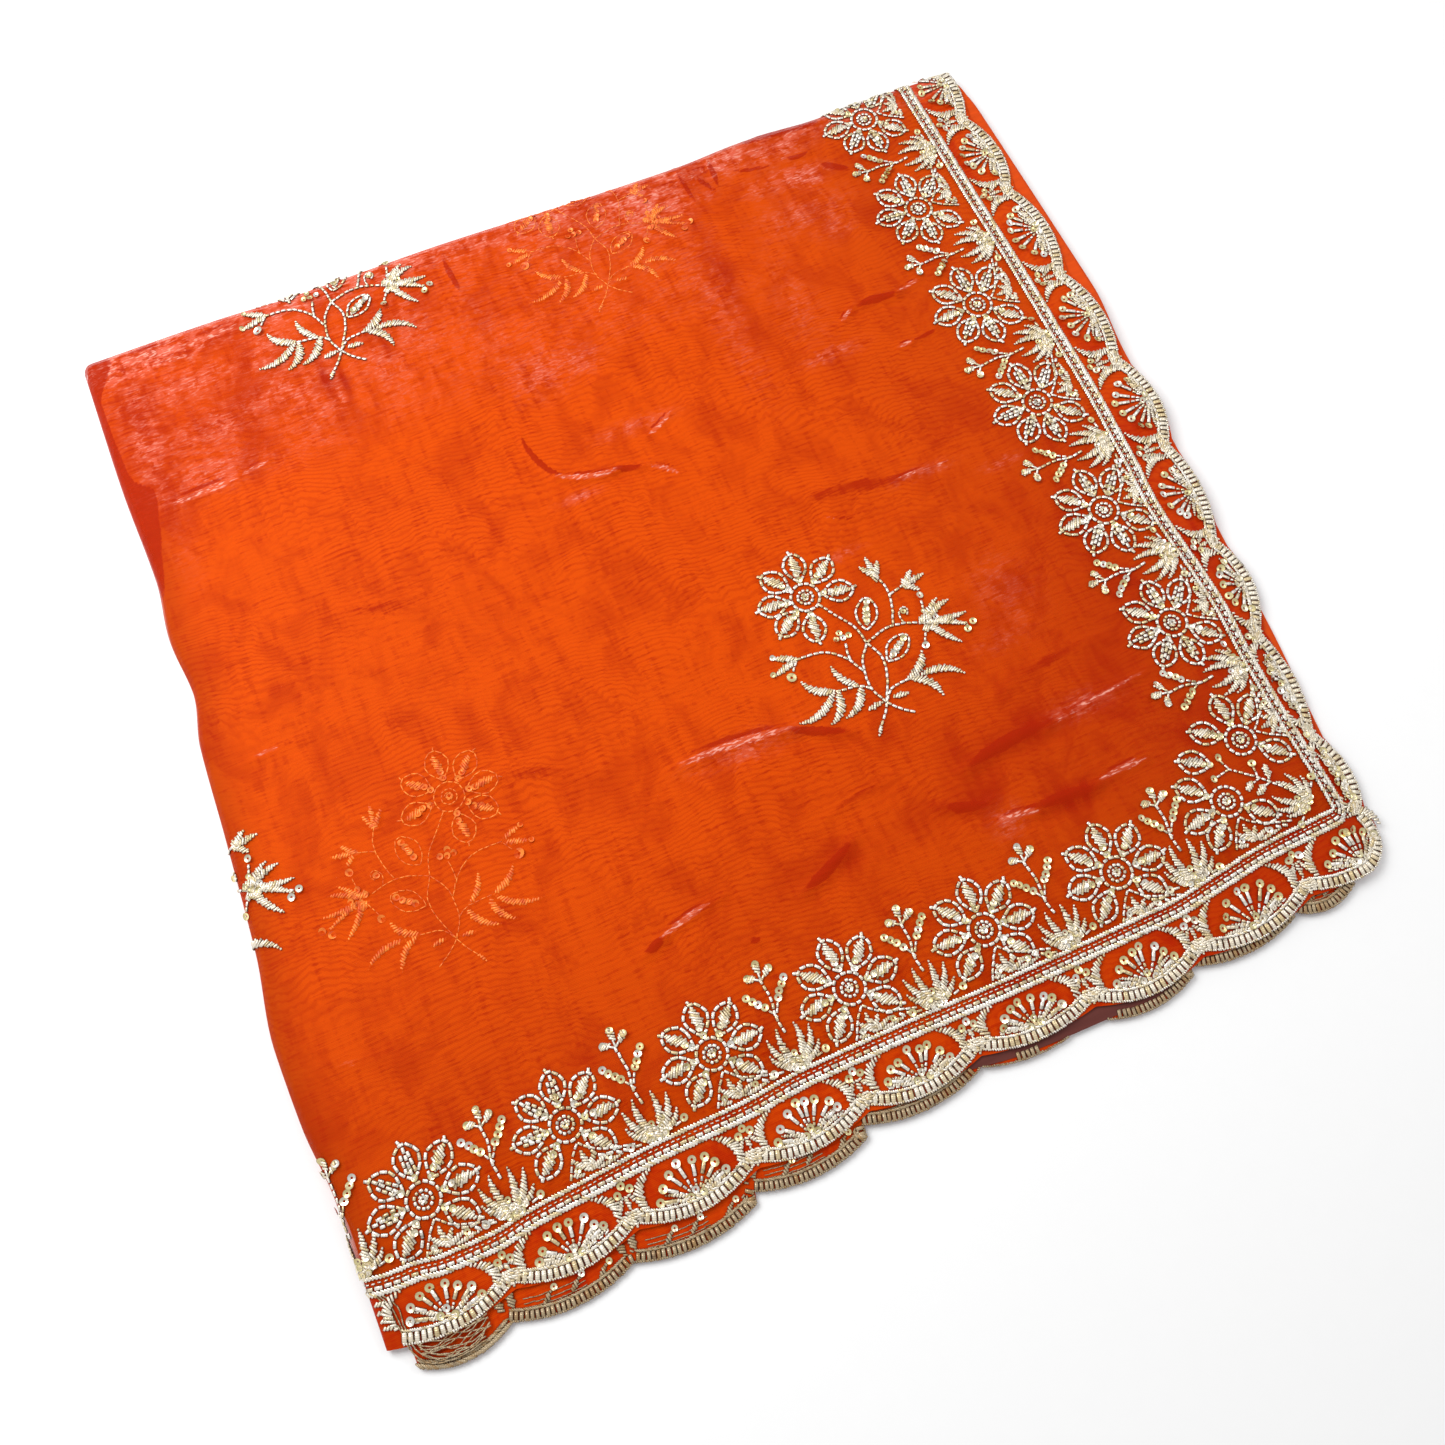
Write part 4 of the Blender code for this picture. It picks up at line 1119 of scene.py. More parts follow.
def edging_pattern(start_of, end_of, columns, rows):
    """Pattern points of an edging's cloth: rows from the rim in to the joint, columns along it."""
    share = np.linspace(0, 1, columns)[None, :]
    inward = np.linspace(1, 0, rows)[:, None]
    s = np.broadcast_to(share * EDGING_LENGTH_GUESS, (rows, columns))
    t = np.broadcast_to(EDGING_WIDTH_GUESS * inward, s.shape)
    for _ in range(PASSES):
        p, q = edge_point(s, t)
        start, end = start_of(p[:, :1], q[:, :1]), end_of(p[:, -1:], q[:, -1:])
        s = start + share * (end - start)
        t = CLOTH_JOINT + inward * (cloth_distance(s) - RIM_INSET - CLOTH_JOINT)
    return edge_point(s, t)


def lower_pattern(columns, rows):
    """Pattern points of the lower edging: rows from its rim in under the upper one."""
    left = float(left_roll(np.array(LOWER_END_Y))[0]) + LOWER_START
    x = np.linspace(left, LOWER_SCALLOPS[-1].end, columns)
    rim = lower_rim(x) + RIM_INSET
    share = np.linspace(0, 1, rows)[:, None]
    return np.tile(x, (rows, 1)), rim + share * (LOWER_INNER_EDGE - rim)


def rounded_square(corner_radii, steps, corner_steps=8):
    """Points round a square of half side 1, anticlockwise from its near left corner."""
    arcs = []
    for side, (radius, corner) in enumerate(zip(corner_radii, ((-1, -1), (1, -1), (1, 1), (-1, 1)))):
        turn = np.pi * (1 + side / 2) + np.linspace(0, np.pi / 2, corner_steps + 1)
        arcs.append(np.array(corner) * (1 - radius) + radius * unit_circle(turn))
    share = np.linspace(0, 1, steps + 1)[1:-1, None]
    runs = []
    for arc, following in zip(arcs, arcs[1:] + arcs[:1]):
        runs += [arc, arc[-1] + share * (following[0] - arc[-1])]
    return np.concatenate(runs)


def stack_rings(layers):
    """Rings of the folded layers, from the middle of the underside up the sides and over the top.

    The side bulges out once for each layer, as the root of a sine of the height, and its layers
    lie a little in and out of line along slow waves. The top follows the cloth over it.
    """
    a, b = (rounded_square(STACK_CORNERS, CORNER_SQUARE_STEPS).T + 1) / 2
    tops = []
    for share in STACK_TOP_SHARES:
        p, q = (a - 0.5) * FIRST_GUESS, (b - 0.5) * FIRST_GUESS
        for _ in range(PASSES):
            left, _, left_length = left_roll(q)
            far, far_length = far_roll(p)
            edge = curve(PLAIN_FOLD_END, q) - STACK_EDGE_INSET
            right = edge + share * (STACK_INNER_END - edge)
            edge = curve(STACK_NEAR, p) + STACK_EDGE_INSET
            near = edge + share * (STACK_INNER_NEAR - edge)
            start = left - (1 - share) * left_length
            stop = far + (1 - share) * far_length
            p, q = start + a * (right - start), near + b * (stop - near)
        under = ease((STACK_INNER_NEAR - q) / (STACK_INNER_NEAR - LOWER_INNER_EDGE))
        tops.append(lay(p, q, STACK_DEPTH - 0.4 + (LOWER_ROOM + 0.2) * under, trough_rise))
    edge = tops[0]
    outward = unit(right_of(np.roll(edge, -1, axis=0)[:, :2] - np.roll(edge, 1, axis=0)[:, :2]))
    folded = ease(1 - np.minimum(a, 1 - b) / FOLDED_SHARE)
    top = folded * np.minimum(edge[:, 2], FOLD_END) + (1 - folded) * edge[:, 2]
    turn = np.linspace(0, 2 * np.pi, len(a), endpoint=False)
    sides = []
    for share in np.linspace(0, 1, layers * LAYER_STEPS + 1)[:-1]:
        number = math.floor(share * layers)
        slow = LAYER_SHIFT * np.sin((3 + number % 4) * turn + 1.9 * number)
        bulge = LAYER_BULGE * math.sqrt(abs(math.sin(math.pi * share * layers))) + slow * (share > 0)
        sides.append(raised(edge[:, :2] + outward * (bulge + SIDE_OUT)[:, None], top * share))
    return np.array(sides + tops)


def add_object(name, data, **settings):
    obj = bpy.data.objects.new(name, data)
    for key, value in settings.items():
        setattr(obj, key, value)
    bpy.context.scene.collection.objects.link(obj)
    return obj


def mesh_object(name, points, quads, triangles, uv, attributes, material):
    """A smooth mesh from arrays: points in millimetres, quads and triangles, UV and attributes."""
    loops = np.concatenate([quads.ravel(), triangles.ravel()]).astype(np.int32)
    starts = [np.arange(len(quads)) * 4, len(quads) * 4 + np.arange(len(triangles)) * 3]
    mesh = bpy.data.meshes.new(name)
    mesh.vertices.add(len(points))
    mesh.vertices.foreach_set("co", (points * MM).astype(np.float32).ravel())
    mesh.loops.add(len(loops))
    mesh.loops.foreach_set("vertex_index", loops)
    mesh.polygons.add(len(quads) + len(triangles))
    mesh.polygons.foreach_set("loop_start", np.concatenate(starts).astype(np.int32))
    mesh.update(calc_edges=True)
    layer = mesh.uv_layers.new(name="pattern")
    layer.data.foreach_set("uv", uv[loops].astype(np.float32).ravel())
    for key, values in attributes.items():
        attribute = mesh.attributes.new(key, "FLOAT", "POINT")
        attribute.data.foreach_set("value", np.asarray(values, np.float32).ravel())
    mesh.shade_smooth()
    mesh.materials.append(material)
    if mesh.validate(verbose=True):
        raise RuntimeError(f"{name} has faces that don't hold together")
    obj = add_object(name, mesh)
    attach(obj, "root")
    return obj


def cloth_object(name, p, q, depth, rise, material, slot, **declared):
    """A sheet of cloth from a grid of pattern points, with its own UV in metres and its masks of painted
    light.
    """
    points = lay(p, q, np.full(p.shape, depth), rise).reshape(-1, 3)
    uv = together(p, q).reshape(-1, 2) * MM
    masks = cloth_masks(points[:, 0], points[:, 1])
    obj = mesh_object(name, points, grid_quads(*p.shape, False), np.zeros((0, 3), int), uv, masks, material)
    return obj


def soft_box(x, y, left, right, near, far, blur):
    """1 inside a rectangle and 0 outside it, with blurred sides."""
    across = ease((x - left) / blur + 0.5) * ease((right - x) / blur + 0.5)
    return across * ease((y - near) / blur + 0.5) * ease((far - y) / blur + 0.5)


def cloth_masks(x, y):
    """How much painted light each point of the cloth has: painted pink sheen, painted glints, painted shade
    in patches and folds, and painted shade where the cloth turns away from the light.
    """
    shine, shade, glint, fold = (np.zeros(x.shape) for _ in range(4))
    # Painted light on each crease: a painted highlight (glint) along its lit share, a thin line of painted
    # shade beside it, and painted shade (fold) along the rest.
    for crease in CREASES:
        across, beyond, share = crease_places(crease, x, y)
        amount = bell(beyond) * min(1.0, crease.rise) * (0.35 + 0.65 * np.sin(np.pi * share))
        lit = ease((crease.lit - share) / 0.3 + 0.5)
        glint += 1.3 * amount * lit * bell((across + 0.1) / 0.45)
        thin = lit * bell((across - 0.75) / 0.4)
        dark = (1 - lit) * bell(across * np.where(across > 0, 1.5, 1.0) / 0.9)
        fold += 1.25 * amount * (0.8 * thin + dark)
    for patches, mask, most in ((SHINES, shine, 0.8), (SHADES, shade, 1.0)):
        for patch in patches:
            mask += most * patch.amount * bell((x - patch.x) / patch.wide, (y - patch.y) / patch.high)
    # Along the far fold: painted sheen, more of it on the left, then painted shade, and a dark strip of
    # painted shade on the right.
    far = y - curve(FAR_FOLD, x)
    shine += 0.8 * bell((far + 10) / 8) * (0.55 + 0.45 * ease((120 - x) / 60))
    shade += 0.5 * bell((far + 1) / 5) * ease((x - 60) / 60)
    fold += 0.95 * ease((far + 10) / 5) * ease((x - 140) / 15) * ease((205 - x) / 12)
    # A faint painted sheen over the far part of the cloth.
    shine += 0.10 * soft_box(x, y, -280, 100, 186, 330, 30)
    # Painted shade: the strip at the left fold's far end is dark where the fold turns away from the light,
    # and the cloth darkens by the left fold and towards the right and near sides.
    strip = ease((curve(STRIP_EDGE, y) - x) / 3) * ease((y - 118) / 30)
    fold += (0.86 + 0.14 * ease((y - 200) / 60)) * strip
    shine *= 1 - 0.8 * strip
    brown = 0.75 * bell((x - curve(LEFT_FOLD, y)) / 15) * ease((190 - y) / 20)
    brown += 0.35 * ease((x - 20) / 240) + 0.25 * ease((-60 - y) / 200)
    # More painted shade towards the right and the near side, away from the key light.
    shade += 0.22 * ease((x - 60) / 220) * ease((150 - y) / 260) + 0.16 * ease((-100 - y) / 150)
    masks = {"shine": shine, "shade": shade, "brown": brown, "glint": glint, "fold": fold}
    return {key: np.clip(values, 0, 1) for key, values in masks.items()}


def on_cloth(p, q):
    """Whether pattern points lie between the ends of the two rolled folds."""
    left, far = cloth_ends(p, q)
    return (p > left + FOLD_MARGIN) & (q < far - FOLD_MARGIN)


def sew(group, motif, rng, materials, depth=0.0, rise=cloth_rise):
    """Lays a motif's threads, satin and sequins on the cloth, a little uneven, as one object each."""
    sewing = bpy.context.scene.sari_stitching
    threads, leaves, dots = (np.concatenate(rows) for rows in (motif.dashes, motif.leaves, motif.sequins))
    satin = np.concatenate([*motif.bars, satin_threads(leaves)])
    if not len(threads) + len(satin) + len(dots):
        raise RuntimeError(f"{group} has no stitches")
    for rows in (threads, satin):
        rows[:, :4] += rng.normal(0.0, THREAD_UNEVEN, (len(rows), 4))
        rows[:, 4:] *= sewing.thread_width / (DASH_WIDTH * MM)
    dots[:, 0:2] += rng.normal(0.0, SEQUIN_UNEVEN, (len(dots), 2))
    dots[:, 2] *= sewing.sequin_radius / (SEQUIN_RADIUS * MM)
    for rows, shape, kind, material, slot in (
        (threads, straight_stitches, "threads", "thread", "zari_thread"),
        (satin, straight_stitches, "satin", "satin", "zari_thread"),
        (dots, sequins, "sequins", "sequin", "sequins"),
    ):
        if len(rows):
            made = shape(rows, rng)
            p, q, up = made.points.T
            points, tone = lay(p, q, depth - up, rise), {"tone": made.tone}
            name = f"{group}_{kind}"
            obj = mesh_object(name, points, made.quads, made.triangles, made.uv, tone, materials[material])


def set_or_link(tree, socket, value):
    """Joins another node's socket to this one, or gives it a value: a colour has three parts here."""
    if isinstance(value, bpy.types.NodeSocket):
        tree.links.new(value, socket)
    else:
        socket.default_value = (*value[:3], 1.0) if socket.type == "RGBA" else value


def add_node(tree, kind, inputs=None, **settings):
    """A node with its settings and its inputs, which are numbers, colours or other nodes' sockets."""
    node = tree.nodes.new(kind)
    for name, value in settings.items():
        setattr(node, name, value)
    for name, value in (inputs or {}).items():
        set_or_link(tree, node.inputs[name], value)
    return node


def calc(tree, operation, *values, clamp=False):
    node = add_node(tree, "ShaderNodeMath", operation=operation, use_clamp=clamp)
    for socket, value in zip(node.inputs, values):
        set_or_link(tree, socket, value)
    return node.outputs[0]


def blend_colours(tree, share, first, second):
    node = add_node(tree, "ShaderNodeMix", data_type="RGBA", clamp_factor=True)
    for number, value in ((0, share), (6, first), (7, second)):
        set_or_link(tree, node.inputs[number], value)
    return node.outputs[2]


def spread(tree, value, low, high, to_low=0.0, to_high=1.0):
    """Maps low..high to to_low..to_high, smoothly and without going past them."""
    node = add_node(tree, "ShaderNodeMapRange", interpolation_type="SMOOTHSTEP")
    for number, given in enumerate((value, low, high, to_low, to_high)):
        set_or_link(tree, node.inputs[number], given)
    return node.outputs[0]


def noise(tree, place, scale, stretch=(1, 1, 1), turn=0.0, detail=2.0, roughness=0.5, distortion=0.0):
    """Noise with this many spots a metre, after the place is turned and stretched."""
    mapping = {"Vector": place, "Rotation": (0, 0, math.radians(turn)), "Scale": stretch}
    place = add_node(tree, "ShaderNodeMapping", mapping).outputs[0]
    inputs = {"Vector": place, "Scale": scale, "Detail": detail, "Roughness": roughness}
    return add_node(tree, "ShaderNodeTexNoise", inputs | {"Distortion": distortion}).outputs["Fac"]


def node_group(name, defaults):
    """An empty shader node group and its inputs: a number, a colour, or None for a place."""
    group = bpy.data.node_groups.new(name, "ShaderNodeTree")
    for key, default in defaults.items():
        kind = {float: "Float", tuple: "Color"}.get(type(default), "Vector")
        socket = group.interface.new_socket(key, in_out="INPUT", socket_type=f"NodeSocket{kind}")
        if default is not None:
            socket.default_value = default
    return group, group.nodes.new("NodeGroupInput").outputs


def give_out(group, **values):
    """Gives the group its outputs: numbers, and a colour where it is called Colour."""
    for key in values:
        kind = "NodeSocketColor" if key == "Colour" else "NodeSocketFloat"
        group.interface.new_socket(key, in_out="OUTPUT", socket_type=kind)
    end = group.nodes.new("NodeGroupOutput")
    for key, value in values.items():
        group.links.new(value, end.inputs[key])
    return group


def weave_group(name):
    """Organza's weave: crossing threads, slubs, the wavy watered look, and the specks and crumples that break
    up the painted sheen and glints.
    """
    group, given = node_group(name, {"Place": None, "Thread pitch": 0.0008})
    place = given["Place"]
    parts = add_node(group, "ShaderNodeSeparateXYZ", {"Vector": place}).outputs
    waves = []
    for number in (0, 1):
        turns = calc(group, "DIVIDE", parts[number], given["Thread pitch"])
        waves.append(calc(group, "SINE", calc(group, "MULTIPLY", turns, 2 * math.pi)))
    threads = calc(group, "MULTIPLY", calc(group, "ADD", *waves), 0.25)
    slubs = noise(group, place, 95, (0.5, 7, 1), -3, 2, 0.6)
    upright = noise(group, place, 60, (3.2, 0.45, 1), 4, 2, 0.6)
    slubs = calc(group, "MULTIPLY_ADD", upright, 0.45, calc(group, "MULTIPLY", slubs, 0.55))
    mottle = noise(group, place, 30, (1.3, 0.9, 1), 8, 3, 0.68, 0.6)
    height = calc(group, "ADD", calc(group, "MULTIPLY", threads, 0.5), calc(group, "MULTIPLY", slubs, 2.0))
    wide = noise(group, place, 9, (1, 1.4, 1), 0, 2)
    across = parts[1]
    for source, share in ((wide, 0.05), (mottle, 0.012), (parts[0], 0.10)):
        across = calc(group, "MULTIPLY_ADD", source, share, across)
    rings = calc(group, "SINE", calc(group, "MULTIPLY", across, 2 * math.pi / MOIRE_PITCH))
    patches = spread(group, wide, 0.42, 0.62, 1.0, 0.3)
    return give_out(
        group,
        Height=height,
        Slubs=slubs,
        Watering=calc(group, "MULTIPLY", spread(group, rings, -0.2, 1.0), patches),
        Specks=spread(group, noise(group, place, 480, (0.5, 1.8, 1), -8, 1), 0.50, 0.64),
        Mottle=mottle,
        Crumple=noise(group, place, 140, (0.8, 1.3, 1), 25, 3, 0.65, 0.5),
    )


def colour_and_light_group(name):
    """The cloth's colour and roughness: its own colour and weave, with painted light from its masks: pink
    sheen, glints, and shade in patches, folds and where it turns away.
    """
    colours = dict.fromkeys(("Cloth", "Pink", "Deep", "Brown"), (1, 1, 1, 1))
    group, value = node_group(name, colours | dict.fromkeys((*CLOTH_MASKS, *WEAVE_VALUES), 0.0))
    # Painted shade where the cloth turns away from the light, then painted shade of the Shade mask with
    # random mottling.
    colour = blend_colours(group, value["Turned"], value["Cloth"], value["Brown"])
    mottled = spread(group, value["Mottle"], 0.42, 0.70, 0.0, 0.42)
    shade = calc(group, "ADD", value["Shade"], mottled, clamp=True)
    colour = blend_colours(group, shade, colour, value["Deep"])
    fine = calc(group, "MULTIPLY_ADD", value["Crumple"], 0.65, calc(group, "MULTIPLY", value["Slubs"], 0.35))
    patchy = spread(group, value["Mottle"], 0.60, 0.42, 0.35, 1.0)
    broken = calc(group, "MULTIPLY", spread(group, fine, 0.56, 0.45, 0.05, 1.0), patchy)
    # Dark moire lines and slubs of the weave, and painted shade in the hollows between the specks of painted
    # sheen.
    lines = calc(group, "MULTIPLY", value["Watering"], 0.30)
    dark = calc(group, "ADD", lines, spread(group, value["Slubs"], 0.50, 0.64, 0.0, 0.42))
    hollow_shade = calc(group, "MULTIPLY", value["Shine"], calc(group, "SUBTRACT", 1.0, broken))
    dark = calc(group, "MULTIPLY_ADD", hollow_shade, 0.4, dark, clamp=True)
    colour = blend_colours(group, dark, colour, value["Deep"])
    # Painted pink sheen, broken into specks.
    pink = calc(group, "MULTIPLY", value["Shine"], broken)
    colour = blend_colours(group, pink, colour, value["Pink"])
    # Painted shade in the folds and creases, with ragged edges.
    ragged = calc(group, "MULTIPLY_ADD", value["Slubs"], 1.1, calc(group, "MULTIPLY", value["Mottle"], 0.5))
    fold = spread(group, calc(group, "SUBTRACT", value["Fold"], ragged), -0.42, -0.16, 0.0, 0.85)
    colour = blend_colours(group, fold, colour, value["Deep"])
    # Painted glints on the creases and on the specks of the sheen.
    bright = spread(group, calc(group, "SUBTRACT", value["Glint"], ragged), -0.52, -0.12)
    bright = calc(group, "MAXIMUM", bright, calc(group, "MULTIPLY", pink, 0.75))
    glint = calc(group, "MULTIPLY", bright, calc(group, "MULTIPLY_ADD", value["Specks"], 0.9, 0.1))
    colour = blend_colours(group, glint, colour, GLINT_COLOUR)
    rough = calc(group, "MULTIPLY_ADD", calc(group, "MAXIMUM", pink, glint), -0.22, 0.56)
    return give_out(group, Colour=colour, Roughness=rough)


def twist_group(name):
    """Metallic thread: how its tone, its twisted strands and its worn spots change over a stitch, and painted
    shade at its sides and ends, which on a sequin falls on its outer rim.
    """
    colours = dict.fromkeys(("Light", "Warm", "Dark"), (1, 1, 1, 1))
    numbers = {"Tone": 0.5, "Strands": 8.0, "Edges": 0.8}
    group, value = node_group(name, colours | {"Place": None, "Along": None} | numbers)
    parts = add_node(group, "ShaderNodeSeparateXYZ", {"Vector": value["Along"]}).outputs
    turns = calc(group, "MULTIPLY_ADD", parts[1], value["Strands"], parts[0])
    strands = calc(group, "SINE", calc(group, "MULTIPLY", turns, 2 * math.pi))
    spots = noise(group, value["Place"], 260)
    colour = blend_colours(group, spread(group, value["Tone"], 0.45, 1.0), value["Light"], value["Warm"])
    dark = calc(group, "MULTIPLY", spread(group, strands, 0.2, 1.0), 0.24)
    dark = calc(group, "ADD", dark, spread(group, spots, 0.54, 0.74, 0.0, 0.5))
    # Painted shade: the sides of each stitch, as much as Edges, and its ends, where it meets the next stitch.
    side = calc(group, "ABSOLUTE", calc(group, "SUBTRACT", parts[0], 0.25))
    dark = calc(group, "ADD", dark, spread(group, side, 0.12, 0.23, 0.0, value["Edges"]))
    end = calc(group, "ABSOLUTE", calc(group, "SUBTRACT", parts[1], 0.5))
    dark = calc(group, "ADD", dark, spread(group, end, 0.40, 0.50, 0.0, 0.75), clamp=True)
    return give_out(
        group,
        Colour=blend_colours(group, dark, colour, value["Dark"]),
        Roughness=spread(group, spots, 0.3, 0.7, 0.20, 0.42),
        Height=calc(group, "MULTIPLY_ADD", strands, 0.5, 0.5),
    )


SHARED_GROUPS = {"organza weave": weave_group, "organza dye": colour_and_light_group, "metal thread": twist_group}


def new_material(name, **plain):
    """A material with a Principled shader whose sockets are set to plain numbers."""
    material = bpy.data.materials.new(name)
    material.use_nodes = True
    shader = material.node_tree.nodes["Principled BSDF"]
    for key, value in plain.items():
        shader.inputs[key.replace("_", " ")].default_value = value
    return material, material.node_tree, shader


def put_group(tree, name, **inputs):
    """A node of the shared group of this name, which is built the first time."""
    group = bpy.data.node_groups.get(name) or SHARED_GROUPS[name](name)
    node = add_node(tree, "ShaderNodeGroup", node_tree=group)
    for key, value in inputs.items():
        set_or_link(tree, node.inputs[key.replace("_", " ")], value)
    return node.outputs


def finish_shader(tree, shader, height, distance, strength, colour, roughness=None):
    """Joins colour, roughness and a bump of this depth in metres to the shader."""
    tree.links.new(colour, shader.inputs["Base Color"])
    if roughness:
        tree.links.new(roughness, shader.inputs["Roughness"])
    bump = add_node(tree, "ShaderNodeBump", {"Height": height, "Distance": distance, "Strength": strength})
    tree.links.new(bump.outputs[0], shader.inputs["Normal"])


def pattern_place(tree):
    return add_node(tree, "ShaderNodeUVMap", uv_map="pattern").outputs[0]


def object_place(tree):
    return add_node(tree, "ShaderNodeTexCoord").outputs["Object"]


def attribute_value(tree, name):
    return add_node(tree, "ShaderNodeAttribute", attribute_name=name).outputs["Fac"]


def cloth_material(name, cloth, alpha=1.0, deep=0.0):
    """Organza in its own colour, with painted sheen, glints and shade. Its masks are the piece's own
    attributes.
    """
    settings = {"Alpha": alpha, "Specular_IOR_Level": 0.12, "Specular_Tint": (1.0, 0.3, 0.15, 1.0)}
    _, tree, shader = new_material(name, **settings)
    weave = put_group(tree, "organza weave", Place=pattern_place(tree), Thread_pitch=cloth.thread_pitch)
    values = {key: attribute_value(tree, mask) for key, mask in CLOTH_MASKS.items()}
    values |= {key: weave[key] for key in WEAVE_VALUES}
    # deep is painted shade added all over the piece, so that the edging cloth is darker round its embroidery.
    if deep:
        values["Shade"] = calc(tree, "ADD", values["Shade"], deep, clamp=True)
    colours = {"Cloth": cloth.colour, "Pink": cloth.shine_colour, "Deep": cloth.deep_colour}
    colour_and_light = put_group(tree, "organza dye", Brown=cloth.brown_colour, **colours, **values)
    finish_shader(tree, shader, weave["Height"], 0.0003, 0.6, colour_and_light["Colour"], colour_and_light["Roughness"])


def metal_material(name, light, warm, dark, strands, metallic, bump, edges=0.95):
    """Metallic thread, satin stitch or sequins, each stitch with its own tone; edges sets how dark the
    painted shade at each stitch's sides goes.
    """
    _, tree, shader = new_material(name, Metallic=metallic)
    places = {"Place": object_place(tree), "Along": pattern_place(tree)}
    colours = {"Light": light, "Warm": warm, "Dark": dark}
    numbers = {"Tone": attribute_value(tree, "tone"), "Strands": strands, "Edges": edges}
    made = put_group(tree, "metal thread", **places, **colours, **numbers)
    finish_shader(tree, shader, made["Height"], bump, 0.6, made["Colour"], made["Roughness"])


def under_material(colour):
    """The stitching that shines through the top cloth from the layer under it."""
    _, tree, shader = new_material("under_thread", Metallic=0.2)
    spots = noise(tree, object_place(tree), 300)
    pale = blend_colours(tree, spread(tree, spots, 0.35, 0.7), colour, UNDER_DARK)
    tree.links.new(pale, shader.inputs["Base Color"])
    tree.links.new(spread(tree, spots, 0.3, 0.7, 0.35, 0.55), shader.inputs["Roughness"])


def plain_material(name, colour, roughness, specular):
    """Organza that shows only at folded edges or in shade: its colour with streaks along the layers."""
    _, tree, shader = new_material(name, Specular_IOR_Level=specular, Roughness=roughness)
    streaks = noise(tree, pattern_place(tree), 60, (0.4, 5, 1), 3)
    deeper = blend_colours(tree, streaks, colour, [part * 0.6 for part in colour])
    finish_shader(tree, shader, streaks, 0.0004, 0.5, deeper)


def sari_materials():
    """All the sari's materials, made once from the scene's settings."""
    cloth, sewing = bpy.context.scene.sari_cloth, bpy.context.scene.sari_stitching
    made = bpy.data.materials
    if "sheer_organza" not in made:
        cloth_material("sheer_organza", cloth, alpha=cloth.opacity)
        cloth_material("edging_organza", cloth, deep=0.25)
        plain_material("layered_organza", cloth.layer_colour, 0.6, 0.12)
        plain_material("shaded_organza", cloth.shaded_colour, 0.7, 0.1)
        metal_material("bugle_thread", sewing.silver, sewing.gold, DARK_THREAD, 3.0, 0.6, 0.0001)
        metal_material("satin_thread", sewing.satin, sewing.gold, DARK_THREAD, 5.0, 0.45, 0.0001, 0.75)
        metal_material("sequin_foil", sewing.sequin, sewing.pale_sequin, DARK_FOIL, 0.0, 1.0, 0.00005, 0.0)
        # The lower edging's satin: a darker copy of the satin, as painted shade under the upper edging.
        metal_material("dim_satin", sewing.dim, sewing.dim_gold, DIM_THREAD, 5.0, 0.3, 0.0001)
        under_material(sewing.under)
    return {key: made[name] for key, name in MATERIALS.items()}


def length_property(name, description, default):
    return FloatProperty(
        name=name, description=description, default=default, min=default / 5, unit="LENGTH", precision=5
    )


def power_property(name, description, default):
    return FloatProperty(name=name, description=description, default=default, min=0.0, unit="POWER")


def factor_property(name, description, default, most):
    return FloatProperty(
        name=name, description=description, default=default, min=0.0, max=most, subtype="FACTOR"
    )


def colour_property(name, description, default):
    return FloatVectorProperty(
        name=name, description=description, default=default, size=3, min=0.0, max=1.0, subtype="COLOR"
    )


class SariCloth(bpy.types.PropertyGroup):
    colour: colour_property("Dye", "Colour of the organza", (0.80, 0.086, 0.0012))
    # Shine, Shade and Turned are colours of painted light: the pink of painted sheen, painted shade in folds
    # and patches (also the colour of the moire lines), and painted shade where the cloth turns away from the
    # light.
    shine_colour: colour_property("Shine", "Colour of the organza where it shines", (0.76, 0.125, 0.070))
    deep_colour: colour_property("Shade", "Colour in its folds and moire lines", (0.40, 0.010, 0.0008))
    brown_colour: colour_property("Turned", "Colour where it turns away", (0.46, 0.050, 0.0012))
    shaded_colour: colour_property("Shaded fold", "Colour of a fold that lies in shade", (0.15, 0.042, 0.034))
    layer_colour: colour_property("Layers", "Colour of the folded layers under it", (0.78, 0.075, 0.0015))
    opacity: factor_property("Opacity", "How much of what is under it one layer hides", 0.68, 1.0)
    thread_pitch: length_property("Thread pitch", "Distance between two threads of the weave", 0.0008)
    cell: length_property("Cell", "Side of the cells of the ground's mesh", 0.0019)
    layers: IntProperty(
        name="Layers", description="Folded layers that show at the sides", default=6, min=2, max=20
    )


